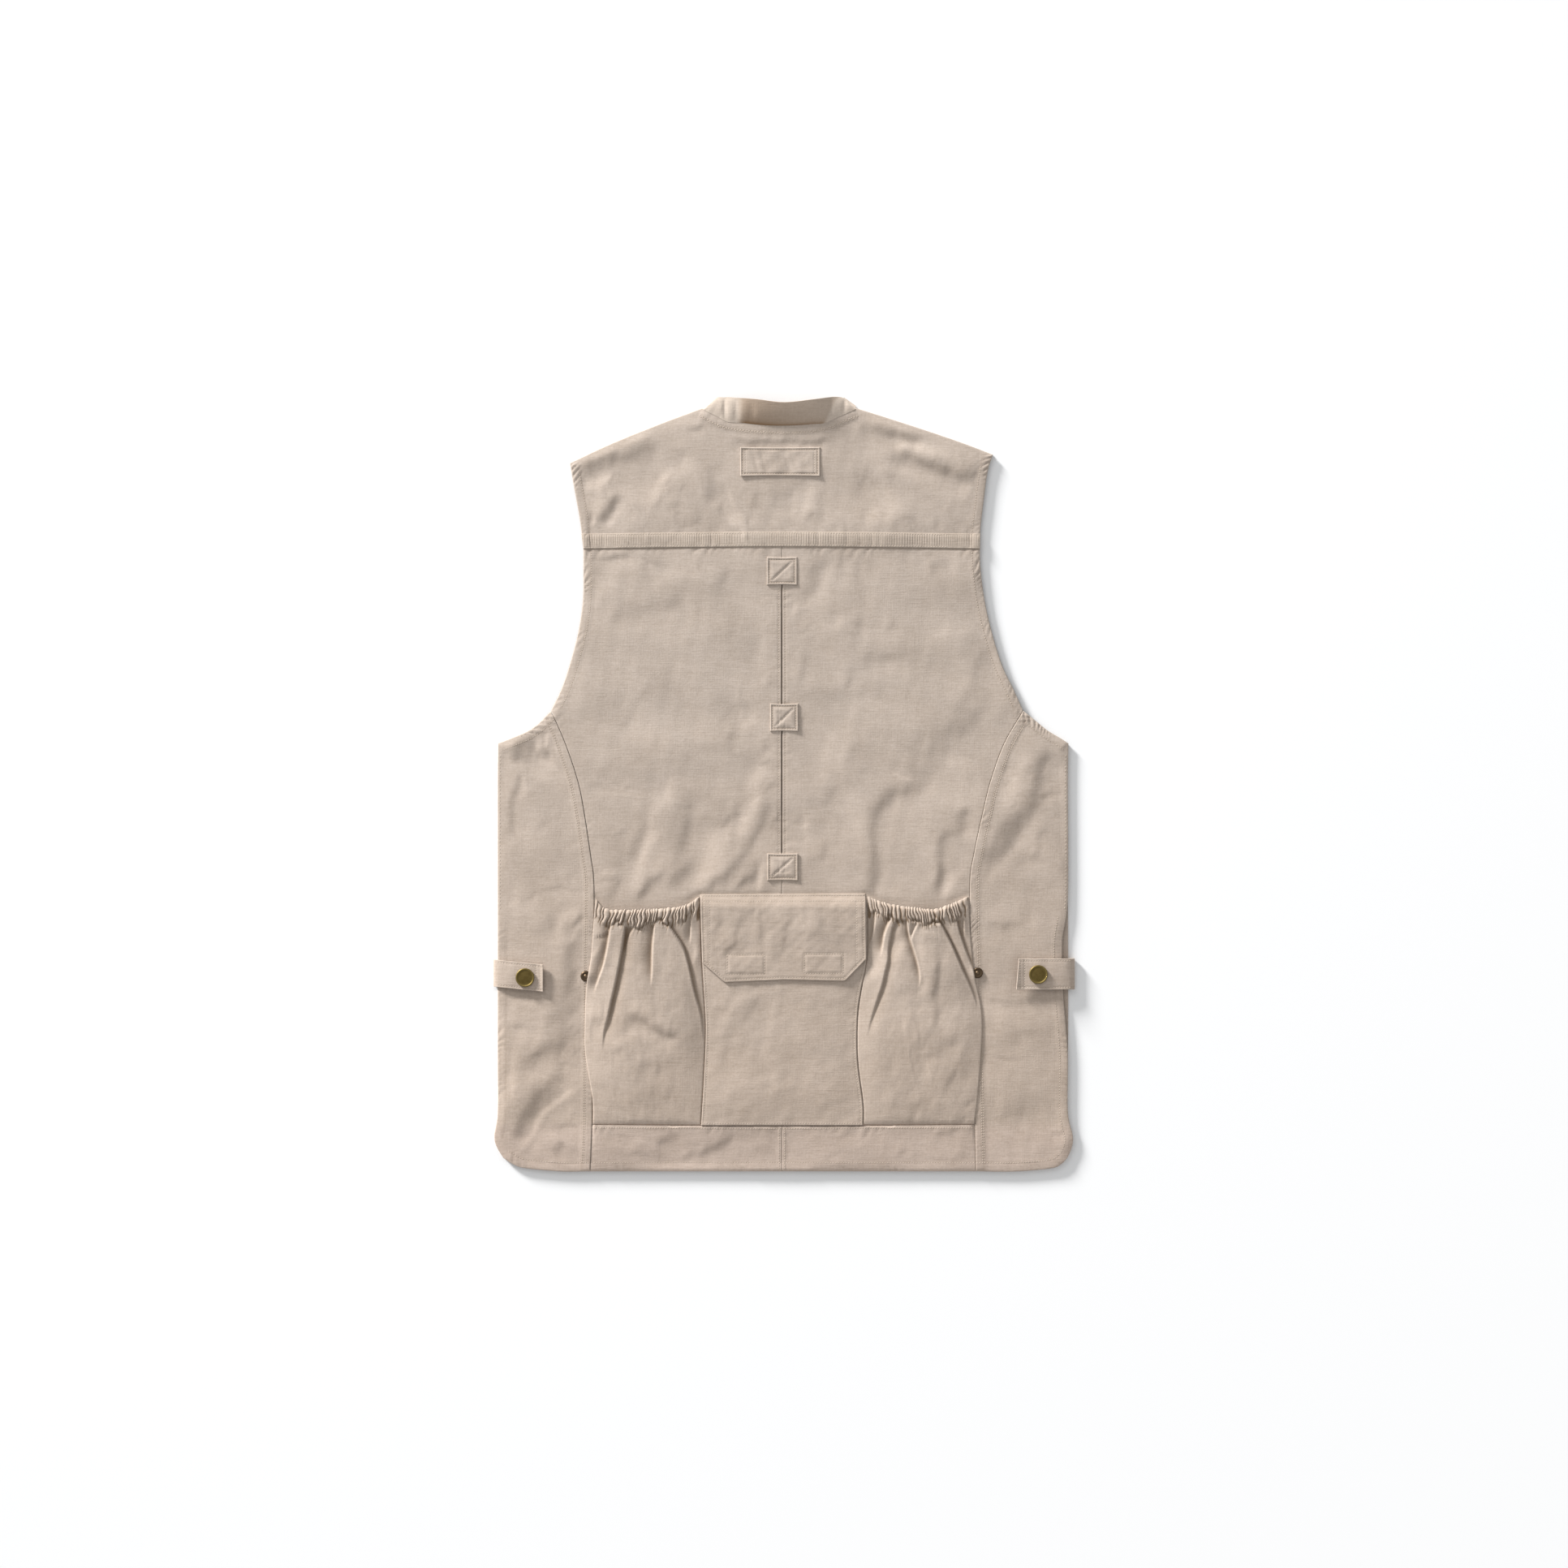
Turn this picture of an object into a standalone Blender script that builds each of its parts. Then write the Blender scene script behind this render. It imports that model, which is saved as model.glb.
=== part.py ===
# A cotton canvas utility vest, laid flat on its front with the back up.
# +Y points to the neck, +Z up from the table, and the origin is below the middle of the outline.

import math
from collections import namedtuple

import bmesh
import bpy
import numpy as np
from mathutils import Vector
from mathutils.bvhtree import BVHTree

# Every size below is in millimetres. MM turns it to metres as a mesh is made.
MM = 0.001

CLOTH = 1.2  # wall of one layer of canvas
TAPE_CLOTH = 1.0
POUCH_CLOTH = 1.4
SEAM_GAP = 0.3  # between two pieces sewn edge to edge
LAYER_GAP = 0.35  # between a piece and what it lies on

# The fronts lie on the table. The back rises from its edges to a calm middle height.
EDGE_LIFT = 1.55  # underside of the back at its outline
BODY_LIFT = 4.6  # underside of the back in the middle
EDGE_RAMP = 38.0  # how far in from the outline it is at full height
OUTLINE_CALM = 12.0  # folds die away this near the outline
LOWEST_TROUGH = 1.6

# How finely each piece is divided.
CELL = 15.0  # usual distance between the points of a panel
SHOULDER_STEPS = 8
NECK_STEPS = 9
YOKE_ROWS = 7
HEM_STEPS = 12
SIDE_STEPS = 6
FRONT_STEPS = 8
FRONT_ARMHOLE_STEPS = 12
UNDERLAY_CELLS = (2, 12)
NECK_PATCH_CELLS = (5, 2)
SLIT_PATCH_CELLS = (2, 2)
POCKET_CELLS = (10, 13)
FLAP_CELLS = (12, 5)
BAND_ROWS = 2  # of the collar and the tabs
BAND_STEPS = 3  # between two of their ribs
CAP_STEPS = 22
STUD_STEPS = 16
MERGE_DISTANCE = 0.01

HIGH = 90.0  # a height above every piece
# How far around each of its points a layer looks for what it lies on.
TAPE_REACH = (3, 2)
PATCH_REACH = (6, 6)
POUCH_REACH = (3, 12)
FLAP_REACH = (6, 10)

CENTRE_X = -2.0  # the centre-back line
SLIT = 1.0  # width of the open centre-back slit
SLIT_TOP = 191.0
SLIT_BOTTOM = -66.0

UNDERLAY_LEFT = -34.0
UNDERLAY_RIGHT = 30.0
UNDERLAY_TOP = 224.5
UNDERLAY_BOTTOM = -94.0
UNDERLAY_LIFT = 3.0

FRONT_LAP = 12.0  # how far each front passes the centre
LAP_LIFT = 1.55  # the right front's lap lies on the left front
LAP_RAMP = 9.0
LAP_STEP_X = CENTRE_X + FRONT_LAP + 1.0  # where the right front comes down beside the left one
FRONT_ARMHOLE_INSET = 11.0  # the fronts are cut deeper at the armholes
NECK_TURN = 1.0  # the front neck's last point lies this far above its middle

HEM_BAND_LEVELS = (-372.0, -350.0)  # rows of the body below the hem seam
TAPE_WIDTH = 14.0

CAP_RADIUS = 9.0
STUD_RADIUS = 5.15

POUCH_GATHERS = 18
POUCH_PUFF = 3.4  # how far a pouch stands off the back, inside
POUCH_MOUTH = 0.3  # share of the height over which it rises below the mouth
POUCH_FOOT = 0.15  # and over which it comes down to the hem seam
POUCH_FOOT_PUFF = 0.65
GATHER_HEIGHT = 1.7
GATHER_REACH = 31.0  # how far below the mouth the gathers run
GATHER_UNEVENNESS = 0.25

Point = namedtuple("Point", "x y")
Level = namedtuple("Level", "y left right")
Fold = namedtuple("Fold", "x0 y0 x1 y1 width height")
Rib = namedtuple("Rib", "seam_x seam_y seam_z top_x top_y top_z")
Turn = namedtuple("Turn", "x z")
Ring = namedtuple("Ring", "radius height")
Look = namedtuple("Look", "colour roughness metallic")

# Armhole edges of the back, from the yoke seam down to the long side seams.
ARMHOLE = [
    Level(227, -193, 188.5),
    Level(208, -193, 189),
    Level(177, -193.5, 193),
    Level(146, -198, 200),
    Level(114, -206.5, 210),
    Level(92, -214, 220.5),
    Level(71, -224, 230),
]

# Armhole edges of the yoke, from the yoke seam up to the shoulder tip.
YOKE_END_LEFT = [
    Point(-193, 227),
    Point(-196.5, 255),
    Point(-202, 285.5),
    Point(-206, 309),
]
YOKE_END_RIGHT = [
    Point(188.5, 227),
    Point(189, 246),
    Point(192, 272),
    Point(196, 301),
    Point(201, 317),
]

# The rest of each armhole, from the side seam's top end out to the underarm.
UNDERARM_LEFT = [
    Point(-224, 71),
    Point(-235, 59.5),
    Point(-246, 51.5),
    Point(-262, 44.5),
    Point(-275, 39.5),
]
UNDERARM_RIGHT = [
    Point(230, 71),
    Point(243, 60.5),
    Point(253.5, 52),
    Point(266, 44.5),
    Point(273.5, 39.5),
]

# The long curved seams between back and side panels, from the armhole down to the hem.
LONG_SEAM = [
    Level(71, -224, 230),
    Level(39, -210, 211.5),
    Level(3, -198, 198.5),
    Level(-27, -192, 191),
    Level(-67, -186, 182.5),
    Level(-99, -182.5, 178.5),
    Level(-182, -183.5, 180),
    Level(-260, -184, 182),
    Level(-327, -184.5, 183.5),
    Level(-372, -186.5, 184.5),
]

# The side edges, from the underarm down, with the flare above the rounded corners.
# The right side panel draws back along its open vent, and the front shows past it there.
SIDE_EDGE = [
    Level(39.5, -275, 273.5),
    Level(0, -275.3, 273),
    Level(-110, -275.3, 273),
    Level(-150, -275.3, 267.7),
    Level(-198, -275.3, 268.3),
    Level(-228, -275.3, 270.7),
    Level(-262, -275.3, 273),
    Level(-315, -275.3, 273),
    Level(-337, -278.6, 277.6),
    Level(-348, -276.5, 277),
    Level(-359, -270, 272.5),
]
FRONT_SIDE_EDGE = [
    Level(39.5, -275, 273.5),
    Level(0, -275.3, 273),
    Level(-80, -275.3, 273),
    Level(-160, -275.3, 273.3),
    Level(-240, -275.3, 273.3),
    Level(-315, -275.3, 273),
    Level(-337, -278.6, 277.6),
    Level(-348, -276.5, 277),
    Level(-359, -270, 272.5),
]

# The hem, from each rounded corner in to the long seam.
HEM_LEFT = [
    Point(-270, -359),
    Point(-259, -366),
    Point(-247, -369.3),
    Point(-214, -372.2),
    Point(-186.5, -372),
]
HEM_RIGHT = [
    Point(272.5, -359),
    Point(266, -365.5),
    Point(256, -369.3),
    Point(222, -372.2),
    Point(184.5, -372),
]

YOKE_SEAM = [Point(-193, 227), Point(CENTRE_X, 229), Point(188.5, 227)]
HEM_SEAM = [Point(-184.5, -327), Point(CENTRE_X, -328.5), Point(183.5, -327)]

SHOULDER_LEFT = [Point(-206, 309), Point(-165, 328), Point(-119, 346.7), Point(-78, 362)]
SHOULDER_RIGHT = [
    Point(68.6, 362),
    Point(97.5, 353),
    Point(136, 340.5),
    Point(172.5, 328),
    Point(201, 317),
]
BACK_NECK = [
    Point(-78, 362),
    Point(-53, 350.2),
    Point(-2, 345.8),
    Point(33.5, 348.3),
    Point(52, 355),
    Point(68.6, 362),
]
FRONT_NECK_LEFT = [Point(-78, 362), Point(-74, 345), Point(-62, 315), Point(-38, 282), Point(-3, 270)]
FRONT_NECK_RIGHT = [Point(68.6, 362), Point(64.5, 345), Point(53, 315), Point(30, 282), Point(-3, 270)]

# The largest folds of the back: a ridge has a height above 0, a trough one below.
FOLDS = [
    Fold(-174, 166, -94, 162, 11, -1.3),
    Fold(-120, -27, -146, -98, 10, 2.6),
    Fold(-98, -15, -93, -84, 12, -1.8),
    Fold(-34, -17, -73, -92, 9, 2.4),
    Fold(-22, -30, -56, -84, 7, -1.4),
    Fold(127, 1, 87, -31, 9, -2.0),
    Fold(86, -34, 88, -100, 9, -2.6),
    Fold(118, -20, 106, -92, 10, 1.8),
    Fold(190, 88, 113, -2, 17, -1.8),
    Fold(150, -46, 151, -98, 9, -2.2),
    Fold(54, 205, 50, 130, 12, 1.2),
    Fold(254, 30, 235, -7, 9, -2.0),
    Fold(226, -41, 192, -80, 9, -2.2),
    Fold(244, -48, 214, -78, 9, 1.5),
    Fold(-214, -285, -255, -338, 9, -2.4),
    Fold(-203, -296, -243, -342, 9, 2.8),
    Fold(-204, -126, -221, -188, 11, -1.8),
    Fold(-221, -190, -214, -246, 11, -1.8),
    Fold(-257, 32, -246, 18, 10, -1.2),
    Fold(200, -212, 255, -205, 10, -1.2),
    Fold(-156, 284, -181, 254, 8, -1.8),
    Fold(114, 315, 176, 291, 9, -1.8),
    Fold(-123, 323, -186, 302, 9, -1.6),
]

# The collar as ribs from its sewn edge to its free edge: left front, back, right front.
COLLAR = [
    Rib(-4.2, 272.0, 0.7, -4.2, 297, 0.7),
    Rib(-37, 283.6, 0.7, -27, 306, 0.7),
    Rib(-60.5, 315.6, 0.7, -42, 328, 0.7),
    Rib(-72.6, 345, 0.7, -57, 352, 0.7),
    Rib(-77.2, 362.3, 0.75, -66.6, 371.0, 0.75),
    Rib(-77.8, 363.4, 1.6, -68, 371.9, 1.7),
    Rib(-74.5, 362.3, 2.7, -64.5, 371.5, 3.0),
    Rib(-53, 351.6, 3.9, -51, 371.6, 5.6),
    Rib(-28, 348.2, 4.0, -27, 369.4, 10.0),
    Rib(0, 347.2, 4.0, 0, 366.4, 12.0),
    Rib(32, 349.6, 4.0, 28, 369.2, 11.0),
    Rib(50, 355.8, 3.6, 46, 371.8, 6.4),
    Rib(65, 362.3, 2.7, 54.5, 371.5, 3.0),
    Rib(68.4, 363.4, 1.6, 58, 371.9, 1.7),
    Rib(67.8, 362.3, 0.75, 56.8, 371.0, 0.75),
    Rib(63.1, 345, 0.7, 47.5, 352, 0.7),
    Rib(51.5, 315.6, 0.7, 33, 328, 0.7),
    Rib(29, 283.6, 0.7, 19, 306, 0.7),
    Rib(-1.8, 272.0, 0.7, -1.8, 297, 0.7),
]

NECK_PATCH = (Point(-42, 296), Point(34.5, 324))
SLIT_PATCHES = [
    (Point(-16.4, 191.5), Point(12.5, 218.4)),
    (Point(-13.3, 51), Point(13.7, 77.6)),
    (Point(-16, -92.4), Point(13.3, -66.3)),
]

# The gathered pouches. Each side edge bulges past its seam halfway down.
POUCH_LEFT_OUTER = [
    Point(-183.3, -326),
    Point(-184, -302),
    Point(-191, -259),
    Point(-191.5, -232),
    Point(-190, -195),
    Point(-185.3, -164),
    Point(-182.5, -126),
    Point(-180.6, -110),
]
POUCH_LEFT_INNER = [
    Point(-80.3, -326.5),
    Point(-77.5, -280),
    Point(-76, -245),
    Point(-76.2, -221),
    Point(-79.5, -166),
    Point(-81.1, -107.5),
]
POUCH_LEFT_MOUTH = [
    Point(-180.6, -110),
    Point(-172, -119),
    Point(-153, -120.5),
    Point(-125, -119.7),
    Point(-97, -116.6),
    Point(-81.1, -107.5),
]
POUCH_RIGHT_INNER = [
    Point(76.4, -326.5),
    Point(76.2, -306),
    Point(71, -264),
    Point(71, -224),
    Point(74.5, -197),
    Point(80, -166),
    Point(80.3, -107.5),
]
POUCH_RIGHT_OUTER = [
    Point(183, -326),
    Point(187, -290),
    Point(190.3, -240),
    Point(189.3, -213),
    Point(183.3, -185),
    Point(179.4, -147),
    Point(176.7, -107.5),
]
POUCH_RIGHT_MOUTH = [
    Point(80.3, -107.5),
    Point(96, -113.5),
    Point(119, -117.4),
    Point(143, -119.7),
    Point(158, -115.8),
    Point(176.7, -107.5),
]
# Depth below the mouth of each row of a pouch's points, as a share of its height.
POUCH_ROWS = (0.0, 0.1, 0.22, 0.36, 0.5, 0.61, 0.67, 0.76, 0.85, 0.93, 0.97, 1.0)

# The long creases of the pouches, from the mouth down.
POUCH_FOLDS = [
    Fold(-165, -132, -172, -168, 5, -2.2),
    Fold(-158, -130, -172, -206, 6, 1.6),
    Fold(-150, -135, -172, -240, 6, -2.2),
    Fold(-126, -135, -126, -196, 5, -1.8),
    Fold(-154, -214, -106, -238, 9, -1.4),
    Fold(-102, -140, -84, -214, 6, -1.8),
    Fold(102, -130, 84, -216, 6, -2.0),
    Fold(119, -130, 130, -200, 6, -1.8),
    Fold(157, -138, 182, -200, 6, -2.0),
    Fold(166, -136, 176, -170, 5, -1.4),
    Fold(140, -160, 141, -230, 7, -1.0),
]

POCKET_TOP = -114.0
POCKET_BOTTOM = -327.5
POCKET_SIDE_GAP = 0.9  # from the pocket's side edges to the pouches

FLAP = [
    Point(-80.5, -105.5),
    Point(-78.5, -171),
    Point(-57, -190),
    Point(0, -187.5),
    Point(58.5, -188.8),
    Point(79, -167.5),
    Point(78.3, -104.8),
]
FLAP_EDGE_LIFT = 1.4  # its lower edge stands off the pocket
FLAP_EDGE_RAMP = 60.0

# The side tabs, as their middle surface: out of the front's edge, round it and over the side panel.
TAB_LEFT = [
    Turn(-275.7, 0.7),
    Turn(-277.4, 0.85),
    Turn(-278.5, 2.0),
    Turn(-278.3, 3.4),
    Turn(-277.0, 4.4),
    Turn(-273.0, 5.0),
    Turn(-262.0, 6.6),
    Turn(-236.0, 6.9),
    Turn(-231.2, 7.6),
]
TAB_RIGHT = [
    Turn(273.5, 0.7),
    Turn(276.4, 0.8),
    Turn(278.5, 2.0),
    Turn(278.3, 3.4),
    Turn(276.6, 4.4),
    Turn(271.5, 5.0),
    Turn(258.0, 6.6),
    Turn(230.0, 6.9),
    Turn(224.0, 7.6),
]
TAB_LEFT_EDGES = (Point(-278.0, -194.3), Point(-278.0, -168.2))
TAB_LEFT_SLOPE = -0.1  # the left tab hangs a little towards the hem
TAB_RIGHT_EDGES = (Point(278.0, -197.0), Point(278.0, -167.2))
TAB_RIGHT_SLOPE = 0.0
CAP_LEFT = Point(-248.6, -185.4)
CAP_RIGHT = Point(244.1, -182.4)
STUD_LEFT = Point(-190.3, -184.2)
STUD_RIGHT = Point(186.0, -181.0)

# Turned profiles, from the top of the axis out and down to its foot.
CAP_RINGS = [
    Ring(0.0, 1.8),
    Ring(3.0, 1.8),
    Ring(6.6, 1.5),
    Ring(7.4, 2.1),
    Ring(8.3, 2.1),
    Ring(CAP_RADIUS, 1.4),
    Ring(CAP_RADIUS, 0.5),
    Ring(8.3, 0.0),
    Ring(0.0, 0.0),
]
STUD_RINGS = [
    Ring(0.0, 2.0),
    Ring(2.2, 2.0),
    Ring(3.2, 1.7),
    Ring(3.6, 0.9),
    Ring(STUD_RADIUS, 0.6),
    Ring(STUD_RADIUS, 0.0),
    Ring(0.0, 0.0),
]

CANVAS = Look((0.56, 0.46, 0.37), 0.9, 0.0)
TAPE = Look((0.52, 0.43, 0.34), 0.9, 0.0)
COLLAR_CANVAS = Look((0.48, 0.39, 0.30), 0.9, 0.0)
BRASS = Look((0.30, 0.22, 0.08), 0.4, 1.0)
DARK_BRASS = Look((0.12, 0.08, 0.05), 0.4, 1.0)
SHARP_ANGLE = math.radians(40)

trees = {}


def clear_scene():
    for obj in list(bpy.data.objects):
        bpy.data.objects.remove(obj, do_unlink=True)


def make_collection(name):
    collection = bpy.data.collections.new(name)
    bpy.context.scene.collection.children.link(collection)
    return collection


def make_material(name, look):
    material = bpy.data.materials.new(name)
    material.use_nodes = True
    shader = material.node_tree.nodes["Principled BSDF"]
    shader.inputs["Base Color"].default_value = (*look.colour, 1.0)
    shader.inputs["Roughness"].default_value = look.roughness
    shader.inputs["Metallic"].default_value = look.metallic
    return material


# Lines in plan


def smooth(points, steps=8):
    # A Catmull-Rom line through the points.
    known = np.array(points, float)
    ends = np.vstack([2 * known[0] - known[1], known, 2 * known[-1] - known[-2]])
    t = np.linspace(0, 1, steps, endpoint=False)[:, None]
    runs = []
    for a, b, c, d in zip(ends, ends[1:], ends[2:], ends[3:]):
        runs.append(
            0.5 * (2 * b + (c - a) * t + (2 * a - 5 * b + 4 * c - d) * t**2)
            + 0.5 * (3 * b - a - 3 * c + d) * t**3
        )
    return np.vstack(runs + [known[-1:]])


def side_of(levels, side):
    return [Point(getattr(level, side), level.y) for level in levels]


def fractions(line):
    # How far along the line each of its points is, from 0 to 1.
    steps = np.linalg.norm(np.diff(line, axis=0), axis=1)
    walked = np.concatenate([[0], np.cumsum(steps)])
    return walked / walked[-1]


def spread(line, count):
    # count + 1 points, evenly along the line.
    wanted = np.linspace(0, 1, count + 1)
    walked = fractions(line)
    return np.stack([np.interp(wanted, walked, column) for column in line.T], axis=1)


def at_fractions(line, wanted):
    walked = fractions(line)
    return np.stack([np.interp(wanted, walked, column) for column in line.T], axis=1)


def at_levels(line, levels):
    # The points where a line that runs up or down passes these heights.
    order = np.argsort(line[:, 1], kind="stable")
    x = np.interp(levels, line[order, 1], line[order, 0])
    return np.stack([x, np.array(levels, float)], axis=1)


def join(*lines):
    # One line from several that meet end to end.
    return np.vstack([lines[0]] + [line[1:] for line in lines[1:]])


def levels_between(low, high):
    count = max(1, round((high - low) / CELL))
    return list(np.linspace(low, high, count + 1))


def ease(value):
    share = np.clip(value, 0, 1)
    return share * share * (3 - 2 * share)


def segment_distance(x, y, a, b):
    run = np.array(b, float) - np.array(a, float)
    away = np.stack([x - a[0], y - a[1]], axis=-1)
    share = np.clip((away @ run) / (run @ run), 0, 1)
    return np.linalg.norm(away - share[..., None] * run, axis=-1)


def line_distance(x, y, line):
    nearest = np.full(np.shape(x), np.inf)
    for a, b in zip(line, line[1:]):
        nearest = np.minimum(nearest, segment_distance(x, y, a, b))
    return nearest


def fold_height(x, y, folds):
    height = np.zeros(np.shape(x))
    for fold in folds:
        away = segment_distance(x, y, (fold.x0, fold.y0), (fold.x1, fold.y1))
        height += fold.height * np.exp(-((away / fold.width) ** 2))
    return height


# The patches


def coons(bottom, top, left, right):
    # Plan points of a four-sided patch. The first index runs from left to right, the second upwards.
    u = ((fractions(bottom) + fractions(top)) / 2)[:, None, None]
    v = ((fractions(left) + fractions(right)) / 2)[None, :, None]
    between_ends = (1 - v) * bottom[:, None] + v * top[:, None]
    between_sides = (1 - u) * left[None] + u * right[None]
    low = (1 - u) * bottom[0] + u * bottom[-1]
    high = (1 - u) * top[0] + u * top[-1]
    return between_ends + between_sides - ((1 - v) * low + v * high)


def drawn_in(plan, distance):
    # The same patch with its border moved in, so that neighbours keep their seam gap.
    plan = plan.copy()
    for axis in (0, 1):
        rows = np.moveaxis(plan, axis, 0)
        for edge, inner in ((0, 1), (-1, -2)):
            run = np.gradient(rows[edge], axis=0)
            run /= np.linalg.norm(run, axis=1)[:, None]
            inward = rows[inner] - rows[edge]
            inward -= (inward * run).sum(axis=1)[:, None] * run
            inward /= np.linalg.norm(inward, axis=1)[:, None]
            rows[edge] += distance * inward
    return plan


def make_object(name, bm, look):
    bmesh.ops.scale(bm, vec=Vector((MM, MM, MM)), verts=bm.verts[:])
    mesh = bpy.data.meshes.new(name)
    bm.to_mesh(mesh)
    bm.free()
    mesh.shade_smooth()
    mesh.set_sharp_from_angle(angle=SHARP_ANGLE)
    mesh.materials.append(make_material(name, look))
    obj = bpy.data.objects.new(name, mesh)
    vest.objects.link(obj)
    return obj


def keep_surface(obj):
    # Keeps the surface of a finished piece for what will lie on it.
    evaluated = obj.evaluated_get(bpy.context.evaluated_depsgraph_get())
    bm = bmesh.new()
    bm.from_mesh(evaluated.to_mesh())
    bm.transform(evaluated.matrix_world)
    trees[obj.name] = BVHTree.FromBMesh(bm)
    bm.free()


def grid_on(points):
    # A grid whose corners lie on an array of points.
    across, along = points.shape[0] - 1, points.shape[1] - 1
    bm = bmesh.new()
    bmesh.ops.create_grid(bm, x_segments=across, y_segments=along, size=1)
    for vert in bm.verts:
        i = round((vert.co.x + 1) / 2 * across)
        j = round((vert.co.y + 1) / 2 * along)
        vert.co = points[i, j]
    return bm


def panel(name, plan, under, wall, look):
    # A layer of cloth from its plan points and the height of its underside.
    bm = grid_on(np.concatenate([plan, under[..., None]], axis=-1))
    bmesh.ops.triangulate(bm, faces=bm.faces[:], quad_method="SHORT_EDGE")
    raised = bmesh.ops.extrude_face_region(bm, geom=bm.faces[:])
    upper = [item for item in raised["geom"] if isinstance(item, bmesh.types.BMVert)]
    bmesh.ops.translate(bm, vec=Vector((0, 0, wall)), verts=upper)
    bmesh.ops.recalc_face_normals(bm, faces=bm.faces[:])
    keep_surface(make_object(name, bm, look))


def band(name, lower, upper, look):
    # A strip of cloth between two lines in space, which are on its middle surface.
    shares = np.linspace(0, 1, BAND_ROWS + 1)[None, :, None]
    points = (1 - shares) * lower[:, None] + shares * upper[:, None]
    obj = make_object(name, grid_on(points), look)
    walls = obj.modifiers.new("wall", "SOLIDIFY")
    walls.thickness = CLOTH * MM
    walls.offset = 0
    keep_surface(obj)


def top_of(names, x, y):
    above = Vector((x, y, HIGH)) * MM
    hits = [trees[name].ray_cast(above, Vector((0, 0, -1)))[0] for name in names]
    return max((hit.z / MM for hit in hits if hit is not None), default=0.0)


def seat(names, plan, reach):
    # The height of a layer that lies on these pieces at each plan point.
    reach_x, reach_y = reach
    offsets = [
        (dx, dy)
        for dx in (-reach_x, 0, reach_x)
        for dy in np.linspace(-reach_y, reach_y, 5)
    ]
    under = np.empty(plan.shape[:2])
    for index in np.ndindex(*under.shape):
        x, y = plan[index]
        under[index] = max(top_of(names, x + dx, y + dy) for dx, dy in offsets)
    return under + LAYER_GAP


def rectangle(corners, cells):
    (x0, y0), (x1, y1) = corners
    x = np.linspace(x0, x1, cells[0] + 1)
    y = np.linspace(y0, y1, cells[1] + 1)
    return np.stack(np.meshgrid(x, y, indexing="ij"), axis=-1)


# Heights of the back


def outline_of_back():
    left = join(
        smooth(HEM_LEFT)[::-1],
        smooth(side_of(SIDE_EDGE, "left"))[::-1],
        smooth(UNDERARM_LEFT)[::-1],
        smooth(side_of(ARMHOLE, "left"))[::-1],
        smooth(YOKE_END_LEFT),
        smooth(SHOULDER_LEFT),
    )
    right = join(
        smooth(HEM_RIGHT)[::-1],
        smooth(side_of(SIDE_EDGE, "right"))[::-1],
        smooth(UNDERARM_RIGHT)[::-1],
        smooth(side_of(ARMHOLE, "right"))[::-1],
        smooth(YOKE_END_RIGHT),
        smooth(SHOULDER_RIGHT)[::-1],
    )
    collar_top = np.array([(rib.top_x, rib.top_y) for rib in COLLAR[5:14]])
    return np.vstack([left, collar_top, right[::-1], left[:1]])


def back_under(plan):
    x, y = plan[..., 0], plan[..., 1]
    inward = line_distance(x, y, outline)
    height = EDGE_LIFT + (BODY_LIFT - EDGE_LIFT) * ease(inward / EDGE_RAMP)
    height += fold_height(x, y, FOLDS) * ease(inward / OUTLINE_CALM)
    lap_reach = FRONT_LAP + LAP_RAMP + CELL
    over_lap = np.abs(x - CENTRE_X) < lap_reach
    over_underlay = (
        (x > UNDERLAY_LEFT - CELL)
        & (x < UNDERLAY_RIGHT + CELL)
        & (y > UNDERLAY_BOTTOM - CELL)
        & (y < UNDERLAY_TOP + CELL)
    )
    lowest = np.where(over_lap, LAP_LIFT + CLOTH + LAYER_GAP, LOWEST_TROUGH)
    lowest = np.where(over_underlay, UNDERLAY_LIFT + CLOTH + LAYER_GAP, lowest)
    return np.maximum(height, lowest)


def front_under(plan):
    # The right front climbs onto the left one at the lap.
    past = plan[..., 0] - LAP_STEP_X
    return LAP_LIFT * (1 - ease(past / LAP_RAMP))


# The pieces


def centre_line(levels, side):
    # The edge of one back at the centre, which stands open along the slit.
    away = [SLIT / 2 if SLIT_BOTTOM < y < SLIT_TOP else 0.0 for y in levels]
    return np.array([(CENTRE_X + side * gap, y) for gap, y in zip(away, levels)])


def make_yoke():
    top = join(
        spread(smooth(SHOULDER_LEFT), SHOULDER_STEPS),
        spread(smooth(BACK_NECK), NECK_STEPS),
        spread(smooth(SHOULDER_RIGHT), SHOULDER_STEPS),
    )
    seam = spread(smooth(YOKE_SEAM), len(top) - 1)
    left = spread(smooth(YOKE_END_LEFT), YOKE_ROWS)
    right = spread(smooth(YOKE_END_RIGHT), YOKE_ROWS)
    plan = drawn_in(coons(seam, top, left, right), SEAM_GAP / 2)
    panel("yoke", plan, back_under(plan), CLOTH, CANVAS)


def body_levels():
    lower = levels_between(-327, 71)
    upper = levels_between(71, 227)
    return lower, upper


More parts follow.
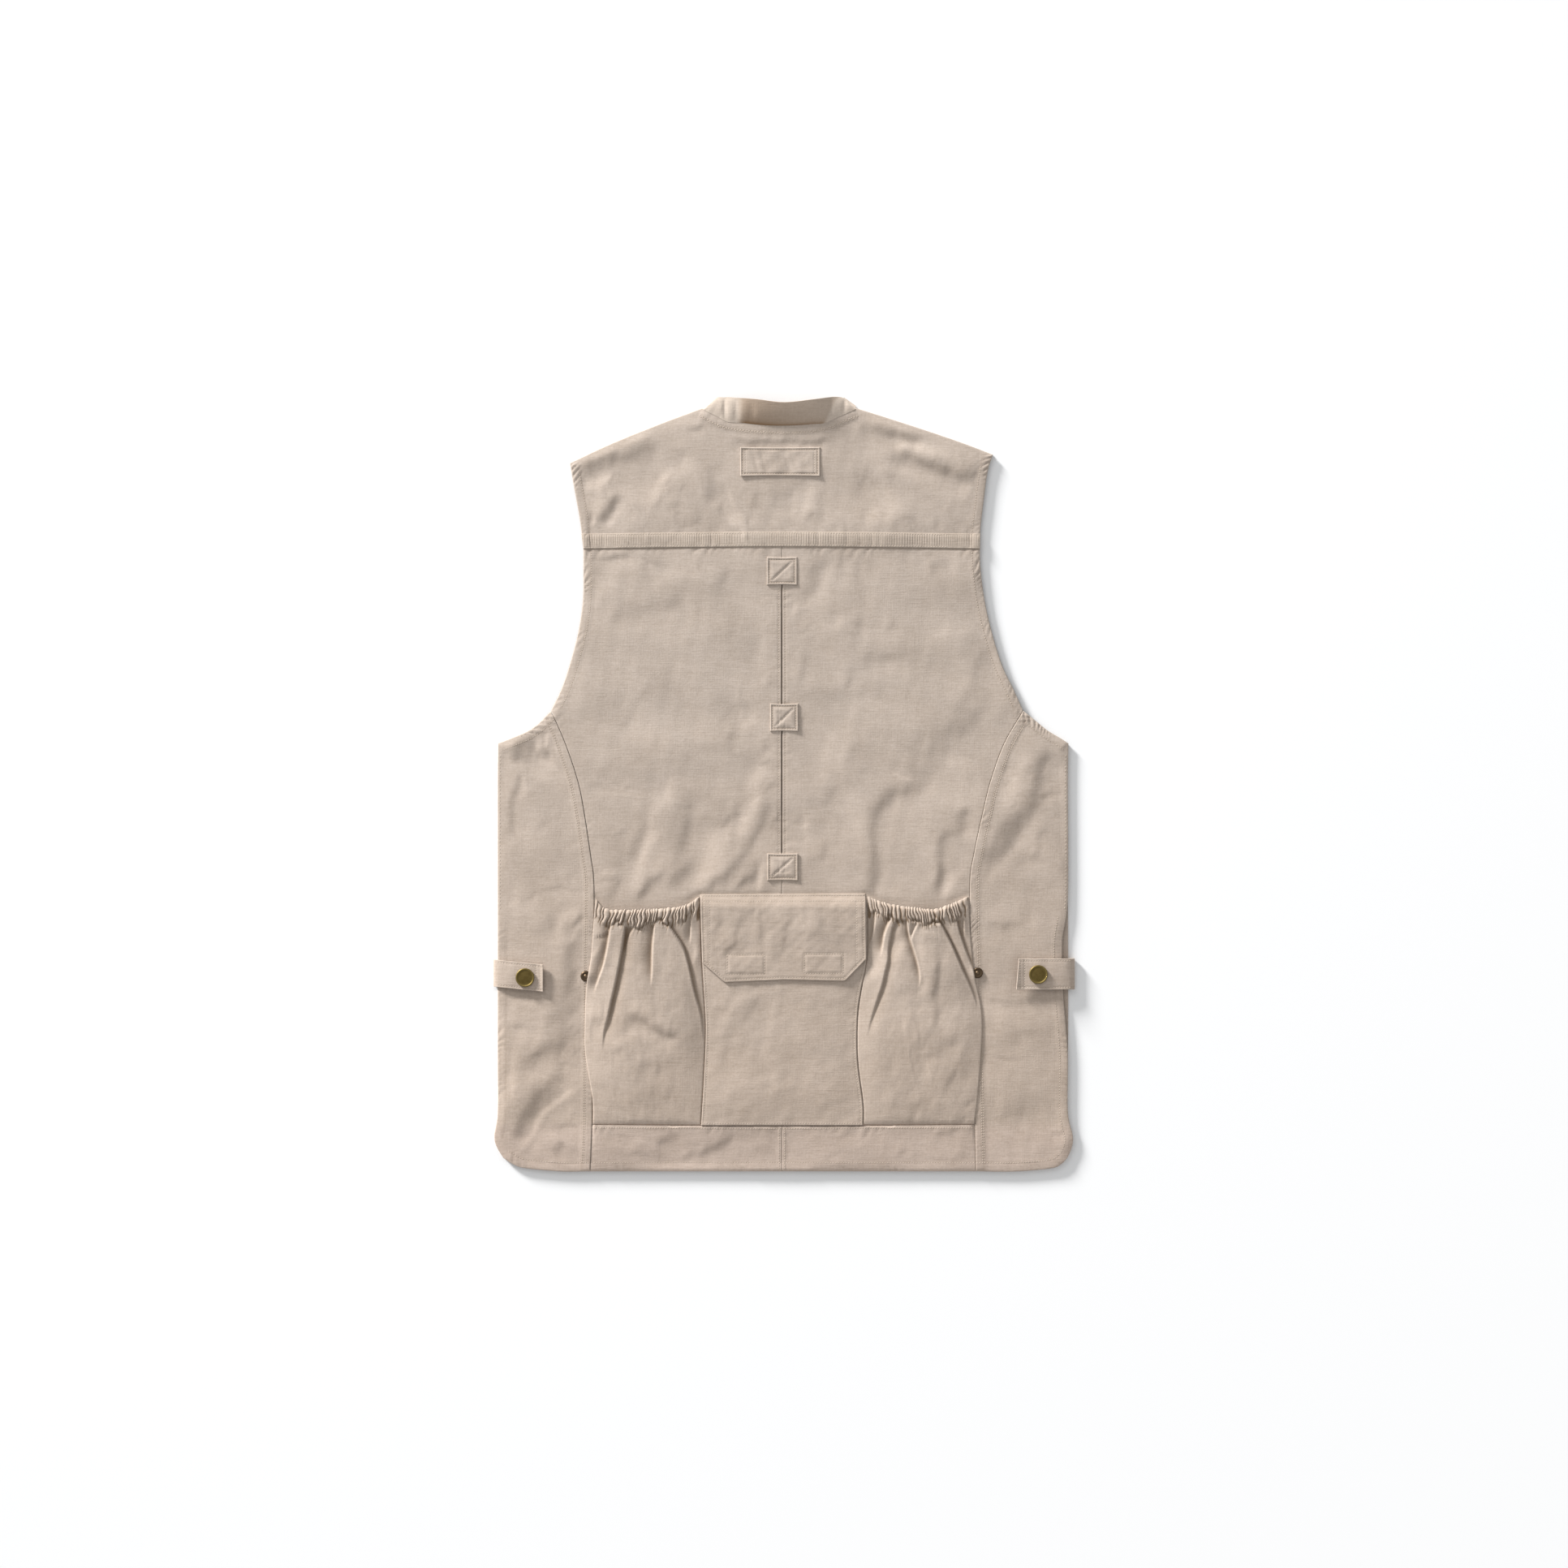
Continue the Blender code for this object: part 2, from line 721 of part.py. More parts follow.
def make_back(side_name, sign):
    lower, upper = body_levels()
    levels = lower + upper[1:]
    seam = smooth(side_of(LONG_SEAM, side_name))
    armhole = smooth(side_of(ARMHOLE, side_name))
    outer = join(at_levels(seam, lower), at_levels(armhole, upper))
    centre = centre_line(levels, sign)
    centre[0, 1] = HEM_SEAM[1].y
    centre[-1, 1] = YOKE_SEAM[1].y
    columns = round(abs(outer[0, 0]) / CELL)
    bottom = spread(np.array([outer[0], centre[0]]), columns)
    top = spread(np.array([outer[-1], centre[-1]]), columns)
    if sign < 0:
        plan = coons(bottom, top, outer, centre)
    else:
        plan = coons(bottom[::-1], top[::-1], centre, outer)
    plan = drawn_in(plan, SEAM_GAP / 2)
    panel(f"back_{side_name}", plan, back_under(plan), CLOTH, CANVAS)


def make_hem(side_name, sign):
    seam = smooth(side_of(LONG_SEAM, side_name))
    outer = at_levels(seam, [HEM_BAND_LEVELS[0], HEM_BAND_LEVELS[1], -327])
    centre = centre_line([HEM_BAND_LEVELS[0], HEM_BAND_LEVELS[1], HEM_SEAM[1].y], sign)
    bottom = spread(np.array([outer[0], centre[0]]), HEM_STEPS)
    top = spread(np.array([outer[-1], centre[-1]]), HEM_STEPS)
    if sign < 0:
        plan = coons(bottom, top, outer, centre)
    else:
        plan = coons(bottom[::-1], top[::-1], centre, outer)
    plan = drawn_in(plan, SEAM_GAP / 2)
    panel(f"hem_{side_name}", plan, back_under(plan), CLOTH, CANVAS)


def make_side(side_name, underarm, hem):
    lower, _ = body_levels()
    levels = list(HEM_BAND_LEVELS) + lower
    inner = at_levels(smooth(side_of(LONG_SEAM, side_name)), levels)
    share = fractions(inner)
    outer = at_fractions(smooth(side_of(SIDE_EDGE, side_name))[::-1], share)
    top = spread(smooth(underarm), SIDE_STEPS)
    bottom = spread(smooth(hem)[::-1], SIDE_STEPS)
    if side_name == "left":
        plan = coons(bottom[::-1], top[::-1], outer, inner)
    else:
        plan = coons(bottom, top, inner, outer)
    plan = drawn_in(plan, SEAM_GAP / 2)
    panel(f"side_{side_name}", plan, back_under(plan), CLOTH, CANVAS)


def front_outer(side_name, underarm, yoke_end):
    # The front's outer edge, with its armhole cut deeper than the back's.
    sign = -1 if side_name == "left" else 1
    side = np.array(side_of(FRONT_SIDE_EDGE, side_name))[::-1]
    armhole = join(
        smooth(underarm)[::-1],
        smooth(side_of(ARMHOLE, side_name))[::-1],
        smooth(yoke_end),
    )
    armhole = spread(armhole, FRONT_ARMHOLE_STEPS)
    share = fractions(armhole)
    armhole[:, 0] -= sign * FRONT_ARMHOLE_INSET * np.sin(np.pi * share)
    return join(side, armhole)


def front_patch(outer, inner_x, hem, shoulder, neck):
    # A front from its outer edge to a straight inner edge, as columns from the outer edge in.
    neckline = smooth(neck)
    neck_end = Point(inner_x, neckline[-1, 1] + NECK_TURN)
    neckline = np.vstack([neckline[np.abs(neckline[:, 0]) > abs(inner_x)], [neck_end]])
    hem_line = np.vstack([smooth(hem), [(inner_x, HEM_BAND_LEVELS[0])]])
    inner = at_fractions(np.array([hem_line[-1], neck_end]), fractions(outer))
    top = join(spread(shoulder, FRONT_STEPS // 2), spread(neckline, FRONT_STEPS))
    return coons(spread(hem_line, len(top) - 1), top, outer, inner)


def make_front_left():
    outer = front_outer("left", UNDERARM_LEFT, YOKE_END_LEFT)
    shoulder = smooth(SHOULDER_LEFT)
    plan = front_patch(outer, CENTRE_X + FRONT_LAP, HEM_LEFT, shoulder, FRONT_NECK_LEFT)
    plan = drawn_in(plan, SEAM_GAP / 2)
    panel("front_left", plan, np.zeros(plan.shape[:2]), CLOTH, CANVAS)


def make_front_right():
    outer = front_outer("right", UNDERARM_RIGHT, YOKE_END_RIGHT)
    shoulder = smooth(SHOULDER_RIGHT)[::-1]
    plan = front_patch(outer, LAP_STEP_X + LAP_RAMP, HEM_RIGHT, shoulder, FRONT_NECK_RIGHT)[::-1]
    for x in (LAP_STEP_X + LAP_RAMP / 2, LAP_STEP_X, CENTRE_X - FRONT_LAP):
        column = plan[0] + (x - plan[0, 0, 0], 0)
        plan = np.concatenate([column[None], plan])
    plan = drawn_in(plan, SEAM_GAP / 2)
    panel("front_right", plan, front_under(plan), CLOTH, CANVAS)


def make_underlay():
    corners = (Point(UNDERLAY_LEFT, UNDERLAY_BOTTOM), Point(UNDERLAY_RIGHT, UNDERLAY_TOP))
    plan = rectangle(corners, UNDERLAY_CELLS)
    under = np.full(plan.shape[:2], UNDERLAY_LIFT)
    panel("pleat_underlay", plan, under, CLOTH, CANVAS)


def make_collar():
    ribs = smooth(COLLAR, BAND_STEPS)
    band("collar", ribs[:, :3], ribs[:, 3:], COLLAR_CANVAS)


def make_tape():
    seam = spread(smooth(YOKE_SEAM), 2 * SHOULDER_STEPS + NECK_STEPS)
    low = drawn_in(np.stack([seam, seam + (0, TAPE_WIDTH)], axis=1), SEAM_GAP)
    plan = np.stack([low[:, 0], (low[:, 0] + low[:, 1]) / 2, low[:, 1]], axis=1)
    under = seat(["yoke"], plan, TAPE_REACH)
    panel("yoke_tape", plan, under, TAPE_CLOTH, TAPE)


def make_patches():
    plan = rectangle(NECK_PATCH, NECK_PATCH_CELLS)
    panel("neck_patch", plan, seat(["yoke"], plan, PATCH_REACH), CLOTH, CANVAS)
    for number, corners in enumerate(SLIT_PATCHES, 1):
        plan = rectangle(corners, SLIT_PATCH_CELLS)
        under = seat(["back_left", "back_right"], plan, PATCH_REACH)
        panel(f"slit_patch_{number}", plan, under, CLOTH, CANVAS)


def make_pouch(name, mouth, left, right, below):
    columns = 2 * POUCH_GATHERS
    shares = np.array(POUCH_ROWS)
    left_edge = at_fractions(smooth(left), shares)
    right_edge = at_fractions(smooth(right), shares)
    top = spread(smooth(mouth), columns)
    bottom = spread(np.array([left_edge[0], right_edge[0]]), columns)
    plan = coons(bottom, top, left_edge, right_edge)
    u = np.linspace(0, 1, columns + 1)[:, None]
    v = shares[None, :]
    depth = (1 - v) * (plan[..., -1, 1] - plan[..., 0, 1])[:, None]
    foot = ease((v - 1 + POUCH_FOOT) / POUCH_FOOT)
    rise = ease(v / POUCH_MOUTH) * (1 - (1 - POUCH_FOOT_PUFF) * foot)
    belly = np.sqrt(1 - np.abs(2 * u - 1) ** 3) * rise
    ridges = np.arange(columns + 1)[:, None] % 2
    uneven = 1 - GATHER_UNEVENNESS * (1 + np.sin(40 * u))
    fade = np.exp(-((depth / GATHER_REACH) ** 2))
    lift = np.maximum((POUCH_PUFF + fold_height(plan[..., 0], plan[..., 1], POUCH_FOLDS)) * belly, 0)
    lift += GATHER_HEIGHT * ridges * uneven * fade * ease(2 * belly)
    under = seat(below, plan, POUCH_REACH) + lift
    panel(name, plan, under, POUCH_CLOTH, CANVAS)


def make_pocket():
    columns, rows = POCKET_CELLS
    levels = np.linspace(POCKET_BOTTOM, POCKET_TOP, rows + 1)
    left = at_levels(smooth(POUCH_LEFT_INNER), levels) + (POCKET_SIDE_GAP, 0)
    right = at_levels(smooth(POUCH_RIGHT_INNER), levels) - (POCKET_SIDE_GAP, 0)
    bottom = spread(np.array([left[0], right[0]]), columns)
    top = spread(np.array([left[-1], right[-1]]), columns)
    plan = coons(bottom, top, left, right)
    panel("pocket", plan, seat(["back_left", "back_right"], plan, PATCH_REACH), CLOTH, CANVAS)


def make_flap():
    columns, rows = FLAP_CELLS
    left = spread(np.array(FLAP[:2])[::-1], rows)
    right = spread(np.array(FLAP[5:]), rows)
    bottom = spread(np.array(FLAP[1:6]), columns)
    top = spread(np.array([FLAP[0], FLAP[-1]]), columns)
    plan = coons(bottom, top, left, right)
    under = seat(["pocket", "back_left", "back_right"], plan, FLAP_REACH)
    low = ease((FLAP[0].y - plan[..., 1]) / FLAP_EDGE_RAMP)
    panel("pocket_flap", plan, under + FLAP_EDGE_LIFT * low, CLOTH, CANVAS)


def make_tab(name, turns, edges, slope):
    path = smooth(turns, BAND_STEPS)
    lower = np.array([(x, edges[0].y + slope * abs(x - edges[0].x), z) for x, z in path])
    upper = np.array([(x, edges[1].y + slope * abs(x - edges[1].x), z) for x, z in path])
    band(name, lower, upper, CANVAS)


def turned(name, rings, steps, place, below, look):
    # A turned metal piece on what lies below it.
    bm = bmesh.new()
    profile = [bm.verts.new((ring.radius, 0, ring.height)) for ring in rings]
    for pair in zip(profile, profile[1:]):
        bm.edges.new(pair)
    obj = make_object(name, bm, look)
    screw = obj.modifiers.new("turned", "SCREW")
    screw.steps = steps
    screw.render_steps = steps
    screw.use_merge_vertices = True
    screw.merge_threshold = MERGE_DISTANCE * MM
    reach = max(ring.radius for ring in rings)
    angles = np.linspace(0, 2 * math.pi, steps)
    edge = zip(place.x + reach * np.cos(angles), place.y + reach * np.sin(angles))
    height = max(top_of(below, x, y) for x, y in edge) + LAYER_GAP
    obj.location = Vector((place.x, place.y, height)) * MM
    keep_surface(obj)


def make_snaps():
    turned("snap_cap_left", CAP_RINGS, CAP_STEPS, CAP_LEFT, ["tab_left"], BRASS)
    turned("snap_cap_right", CAP_RINGS, CAP_STEPS, CAP_RIGHT, ["tab_right"], BRASS)


def make_studs():
    below = ["side_left", "back_left", "side_right", "back_right"]
    turned("snap_stud_left", STUD_RINGS, STUD_STEPS, STUD_LEFT, below, DARK_BRASS)
    turned("snap_stud_right", STUD_RINGS, STUD_STEPS, STUD_RIGHT, below, DARK_BRASS)


clear_scene()
vest = make_collection("vest")
outline = outline_of_back()

make_front_left()
make_front_right()
make_underlay()
make_yoke()
make_back("left", -1)
make_back("right", 1)
make_hem("left", -1)
make_hem("right", 1)
make_side("left", UNDERARM_LEFT, HEM_LEFT)
make_side("right", UNDERARM_RIGHT, HEM_RIGHT)
make_collar()
make_tape()
make_patches()
make_studs()
make_pouch(
    "pouch_left",
    POUCH_LEFT_MOUTH,
    POUCH_LEFT_OUTER,
    POUCH_LEFT_INNER,
    ["back_left", "side_left", "snap_stud_left"],
)
make_pouch(
    "pouch_right",
    POUCH_RIGHT_MOUTH,
    POUCH_RIGHT_INNER,
    POUCH_RIGHT_OUTER,
    ["back_right", "side_right", "snap_stud_right"],
)
make_pocket()
make_flap()
make_tab("tab_left", TAB_LEFT, TAB_LEFT_EDGES, TAB_LEFT_SLOPE)
make_tab("tab_right", TAB_RIGHT, TAB_RIGHT_EDGES, TAB_RIGHT_SLOPE)
make_snaps()
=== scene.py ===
# A canvas utility vest laid flat with its back up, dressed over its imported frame.
# Sizes are in millimetres, x to the right, y to the neck and z up from the floor.
import math

import bmesh
import bpy
import numpy as np
from mathutils import Matrix, Vector
from mathutils.bvhtree import BVHTree


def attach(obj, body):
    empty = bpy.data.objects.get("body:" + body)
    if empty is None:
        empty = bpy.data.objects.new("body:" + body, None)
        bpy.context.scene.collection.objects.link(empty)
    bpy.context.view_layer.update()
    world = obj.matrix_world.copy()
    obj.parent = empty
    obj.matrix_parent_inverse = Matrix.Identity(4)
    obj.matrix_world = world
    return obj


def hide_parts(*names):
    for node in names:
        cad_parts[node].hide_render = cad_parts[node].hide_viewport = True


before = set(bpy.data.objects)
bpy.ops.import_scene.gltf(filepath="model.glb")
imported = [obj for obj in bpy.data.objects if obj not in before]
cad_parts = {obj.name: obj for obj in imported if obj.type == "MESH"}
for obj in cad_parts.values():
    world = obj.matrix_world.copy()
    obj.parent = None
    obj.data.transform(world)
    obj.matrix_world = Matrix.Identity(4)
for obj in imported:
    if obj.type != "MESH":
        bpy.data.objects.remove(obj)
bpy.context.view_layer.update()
mm = 0.001
lightRun = (0.68, -0.73)  # the way the key light travels over the cloth, seen from above
seamGap = 0.15  # each panel is drawn in by this at its seams
surfaces = {}  # what is laid so far, for what lies on it


# lines in plan


def smooth(points, steps=6):
    known = np.array(points, float)
    ends = np.vstack([2 * known[0] - known[1], known, 2 * known[-1] - known[-2]])
    t = np.linspace(0, 1, steps, endpoint=False)[:, None]
    runs = []
    for a, b, c, d in zip(ends, ends[1:], ends[2:], ends[3:]):
        runs.append(
            0.5 * (2 * b + (c - a) * t + (2 * a - 5 * b + 4 * c - d) * t**2)
            + 0.5 * (3 * b - a - 3 * c + d) * t**3
        )
    return np.vstack(runs + [known[-1:]])


def joined(*parts):
    return np.vstack([parts[0]] + [part[1:] for part in parts[1:]])


def walked(line):
    steps = np.linalg.norm(np.diff(line, axis=0), axis=1)
    return np.concatenate([[0], np.cumsum(steps)])


def atShares(line, wanted):
    along = walked(line) / walked(line)[-1]
    return np.stack([np.interp(wanted, along, column) for column in line.T], axis=1)


def spread(line, count):
    return atShares(np.asarray(line, float), np.linspace(0, 1, count + 1))


def atLevels(line, levels):
    order = np.argsort(line[:, 1], kind="stable")
    return np.stack([np.interp(levels, line[order, 1], line[order, 0]), levels], axis=1)


def beside(line, distance):
    # The line moved sideways, to the left of its run where the distance is above 0.
    line = np.asarray(line, float)
    run = np.gradient(line, axis=0)
    run /= np.linalg.norm(run, axis=1)[:, None]
    return line + distance * np.stack([-run[:, 1], run[:, 0]], axis=1)


def between(line, low, high):
    # The part of a line between two heights.
    return line[(line[:, 1] >= low) & (line[:, 1] <= high)]


def graded(length, coarse, first=0.4, growth=1.22):
    # Shares from 0 to 1, with fine steps at both ends for the sewn edges.
    steps = [first]
    while sum(steps) < length / 2:
        steps.append(min(steps[-1] * growth, coarse))
    half = np.array(steps) / sum(steps) / 2
    return np.concatenate([[0], np.cumsum(np.concatenate([half, half[::-1]]))])


def ease(value):
    share = np.clip(value, 0, 1)
    return share * share * (3 - 2 * share)


def bell(distance, width):
    # 1 where the distance is 0, and next to nothing at two widths.
    return np.exp(-((distance / width) ** 2))


def nearest(x, y, line):
    # How far each point is from a line, how far along it, and on which side, 1 for the left of its run.
    best, along, side = np.full(x.shape, np.inf), np.zeros(x.shape), np.ones(x.shape)
    done = 0.0
    for a, b in zip(line, line[1:]):
        run = b - a
        length = math.hypot(*run)
        ax, ay = x - a[0], y - a[1]
        t = np.clip((ax * run[0] + ay * run[1]) / length**2, 0, 1)
        gap = np.hypot(ax - t * run[0], ay - t * run[1])
        closer = gap < best
        best[closer] = gap[closer]
        along[closer] = done + t[closer] * length
        side[closer] = np.where(run[0] * ay[closer] - run[1] * ax[closer] > 0, 1, -1)
        done += length
    return best, along, side


def inReach(x, y, line, margin):
    # Which points lie in the box round a line.
    low, high = line.min(axis=0) - margin, line.max(axis=0) + margin
    return (x > low[0]) & (x < high[0]) & (y > low[1]) & (y < high[1])


def patch(bottom, top, left, right, u, v):
    # Plan points of a four-sided patch from its borders' points, at shares u to the right and v upwards.
    u, v = u[:, None, None], v[None, :, None]
    ends = (1 - v) * bottom[:, None] + v * top[:, None]
    sides = (1 - u) * left[None] + u * right[None]
    low, high = (1 - u) * bottom[0] + u * bottom[-1], (1 - u) * top[0] + u * top[-1]
    return ends + sides - ((1 - v) * low + v * high)


def coons(bottom, top, left, right, u, v):
    return patch(atShares(bottom, u), atShares(top, u), left, right, u, v)


def strip(left, right, u, v):
    # A patch between two borders that run upwards, with straight ends.
    return coons(np.array([left[0], right[0]]), np.array([left[-1], right[-1]]), left, right, u, v)


def drawnIn(plan):
    # The same patch with its border moved in, for the gap at its seams.
    plan = plan.copy()
    for axis in (0, 1):
        rows = np.moveaxis(plan, axis, 0)
        for edge, inner in ((0, 1), (-1, -2)):
            run = np.gradient(rows[edge], axis=0)
            run /= np.linalg.norm(run, axis=1)[:, None]
            inward = rows[inner] - rows[edge]
            inward -= (inward * run).sum(axis=1)[:, None] * run
            rows[edge] += seamGap * inward / np.linalg.norm(inward, axis=1)[:, None]
    return plan


cut = {
    "yokeEndLeft": [(-193, 227), (-196.5, 255), (-202, 285.5), (-206, 309)],
    "yokeEndRight": [(188.5, 227), (189, 246), (192, 272), (196, 301), (201, 317)],
    "armholeLeft": [(-193, 227), (-193, 208), (-193.5, 177), (-198, 146), (-206.5, 114), (-214, 92),
     (-224, 71)],
    "armholeRight": [(188.5, 227), (189, 208), (193, 177), (200, 146), (210, 114), (220.5, 92), (230, 71)],
    "underarmLeft": [(-224, 71), (-235, 59.5), (-246, 51.5), (-262, 44.5), (-275, 39.5)],
    "underarmRight": [(230, 71), (243, 60.5), (253.5, 52), (266, 44.5), (273.5, 39.5)],
    "longLeft": [
        (-224, 71), (-210, 39), (-198, 3), (-192, -27), (-186, -67),
        (-182.5, -99), (-183.5, -182), (-184, -260), (-184.5, -327), (-186.5, -372),
    ],
    "longRight": [
        (230, 71), (211.5, 39), (198.5, 3), (191, -27), (182.5, -67),
        (178.5, -99), (180, -182), (182, -260), (183.5, -327), (184.5, -372),
    ],
    "sideLeft": [
        (-275, 39.5), (-275.3, 0), (-275.3, -110), (-275.3, -150), (-275.3, -198),
        (-275.3, -262), (-275.3, -315), (-278.6, -337), (-276.5, -348), (-270, -359),
    ],
    "sideRight": [
        (273.5, 39.5), (273, 0), (273, -110), (267.7, -150), (268.3, -198), (270.7, -228),
        (273, -262), (273, -315), (277.6, -337), (277, -348), (272.5, -359),
    ],
    "frontSideLeft": [
        (-275, 39.5), (-275.3, 0), (-275.3, -160), (-275.3, -240), (-275.3, -315),
        (-278.6, -337), (-276.5, -348), (-270, -359),
    ],
    "frontSideRight": [
        (273.5, 39.5), (273, 0), (273, -80), (273.3, -160), (273.3, -240), (273, -315),
        (277.6, -337), (277, -348), (272.5, -359),
    ],
    "hemLeft": [(-270, -359), (-259, -366), (-247, -369.3), (-214, -372.2), (-186.5, -372)],
    "hemRight": [(272.5, -359), (266, -365.5), (256, -369.3), (222, -372.2), (184.5, -372)],
    "shoulderLeft": [(-206, 309), (-165, 328), (-119, 346.7), (-78, 362)],
    "shoulderRight": [(68.6, 362), (97.5, 353), (136, 340.5), (172.5, 328), (201, 317)],
    "neck": [(-78, 362), (-53, 350.2), (-2, 345.8), (33.5, 348.3), (52, 355), (68.6, 362)],
    "frontNeckLeft": [(-78, 362), (-74, 345), (-62, 315), (-38, 282), (-3, 270)],
    "frontNeckRight": [(68.6, 362), (64.5, 345), (53, 315), (30, 282), (-3, 270)],
    "yokeSeam": [(-193, 227), (-2, 229), (188.5, 227)],
    "hemSeam": [(-184.5, -327), (-2, -328.5), (183.5, -327)],
    "mouthLeft": [(-180.6, -110), (-172, -119), (-153, -120.5), (-125, -119.7), (-97, -116.6),
     (-81.1, -107.5)],
    "mouthRight": [(80.3, -107.5), (96, -113.5), (119, -117.4), (143, -119.7), (158, -115.8),
     (176.7, -107.5)],
    "pouchLeftOuter": [
        (-183.3, -326), (-184, -302), (-191, -259), (-191.5, -232), (-190, -195),
        (-185.3, -164), (-182.5, -126), (-180.6, -110),
    ],
    "pouchLeftInner": [(-80.3, -326.5), (-77.5, -280), (-76, -245), (-76.2, -221), (-79.5, -166),
     (-81.1, -107.5)],
    "pouchRightInner": [
        (76.4, -326.5), (76.2, -306), (71, -264), (71, -224), (74.5, -197), (80, -166), (80.3, -107.5),
    ],
    "pouchRightOuter": [
        (183, -326), (187, -290), (190.3, -240), (189.3, -213), (183.3, -185), (179.4, -147),
         (176.7, -107.5),
    ],
}
lines = {name: smooth(points) for name, points in cut.items()}
centreX = -2.0
levelOf = {  # heights in plan that several pieces share
    "hem": -372.0,
    "hemSeam": -327.0,
    "hemSeamMiddle": -328.5,
    "pouchMouth": -112.0,
    "slitFoot": -66.0,
    "armpit": 71.0,
    "slitTop": 191.0,
    "yokeSeam": 227.0,
    "yokeSeamMiddle": 229.0,
}
armLeft = joined(lines["yokeEndLeft"][::-1], lines["armholeLeft"], lines["underarmLeft"])
armRight = joined(lines["yokeEndRight"][::-1], lines["armholeRight"], lines["underarmRight"])
hemLine = joined(lines["hemLeft"], lines["hemRight"][::-1])
ventLeft = between(lines["sideLeft"], -360, -124)
ventRight = between(lines["sideRight"], -360, -124)
collarTop = np.array([
    (-68, 371.9), (-64.5, 371.5), (-51, 371.6), (-27, 369.4),
    (0, 366.4), (28, 369.2), (46, 371.8), (58, 371.9),
])
outline = np.vstack([
    lines["hemLeft"][::-1],
    lines["sideLeft"][::-1],
    armLeft[::-1],
    lines["shoulderLeft"],
    collarTop,
    lines["shoulderRight"],
    armRight,
    lines["sideRight"],
    lines["hemRight"],
    lines["hemLeft"][-1:],
])
outline = outline[np.concatenate([[True], np.linalg.norm(np.diff(outline, axis=0), axis=1) > 0.01])]


def creaseList(seed, area, count, lean, spreadAngle, lengths, tilt, width):
    # Small chance creases in an area of the plan, as a list of folds.
    dice = np.random.default_rng(seed)
    folds = []
    for _ in range(count):
        centre = dice.uniform(area[:2], area[2:])
        angle = math.radians(dice.normal(lean, spreadAngle))
        length = dice.uniform(*lengths)
        run = np.array([math.cos(angle), math.sin(angle)]) * length / 2
        bend = np.array([-run[1], run[0]]) * dice.uniform(-0.35, 0.35)
        strength = dice.choice([-0.7, 1.0]) * dice.uniform(0.3, 1) * tilt
        size = dice.uniform(0.85, 1.4) * width
        points = (tuple(centre - run), tuple(centre + bend), tuple(centre + run))
        folds.append((strength, size, 2.6 * size, *points))
    return folds


# how the back lies

lay = {
    "edge": 3.8,  # top of the cloth at the outline
    "roll": (0.35, 1.5),  # quick rise at the rolled edge, and its width
    "swell": (2.4, 38.0),  # slow rise to the middle
    "lowest": 2.7,  # over the fronts, then over their lap, then over the pleat underlay
    "overLap": 4.4,
    "overUnderlay": 5.6,
    "lapReach": 30,  # how far from the centre the lap counts
    "underlayBox": (-42, -104, 38, 233),
}

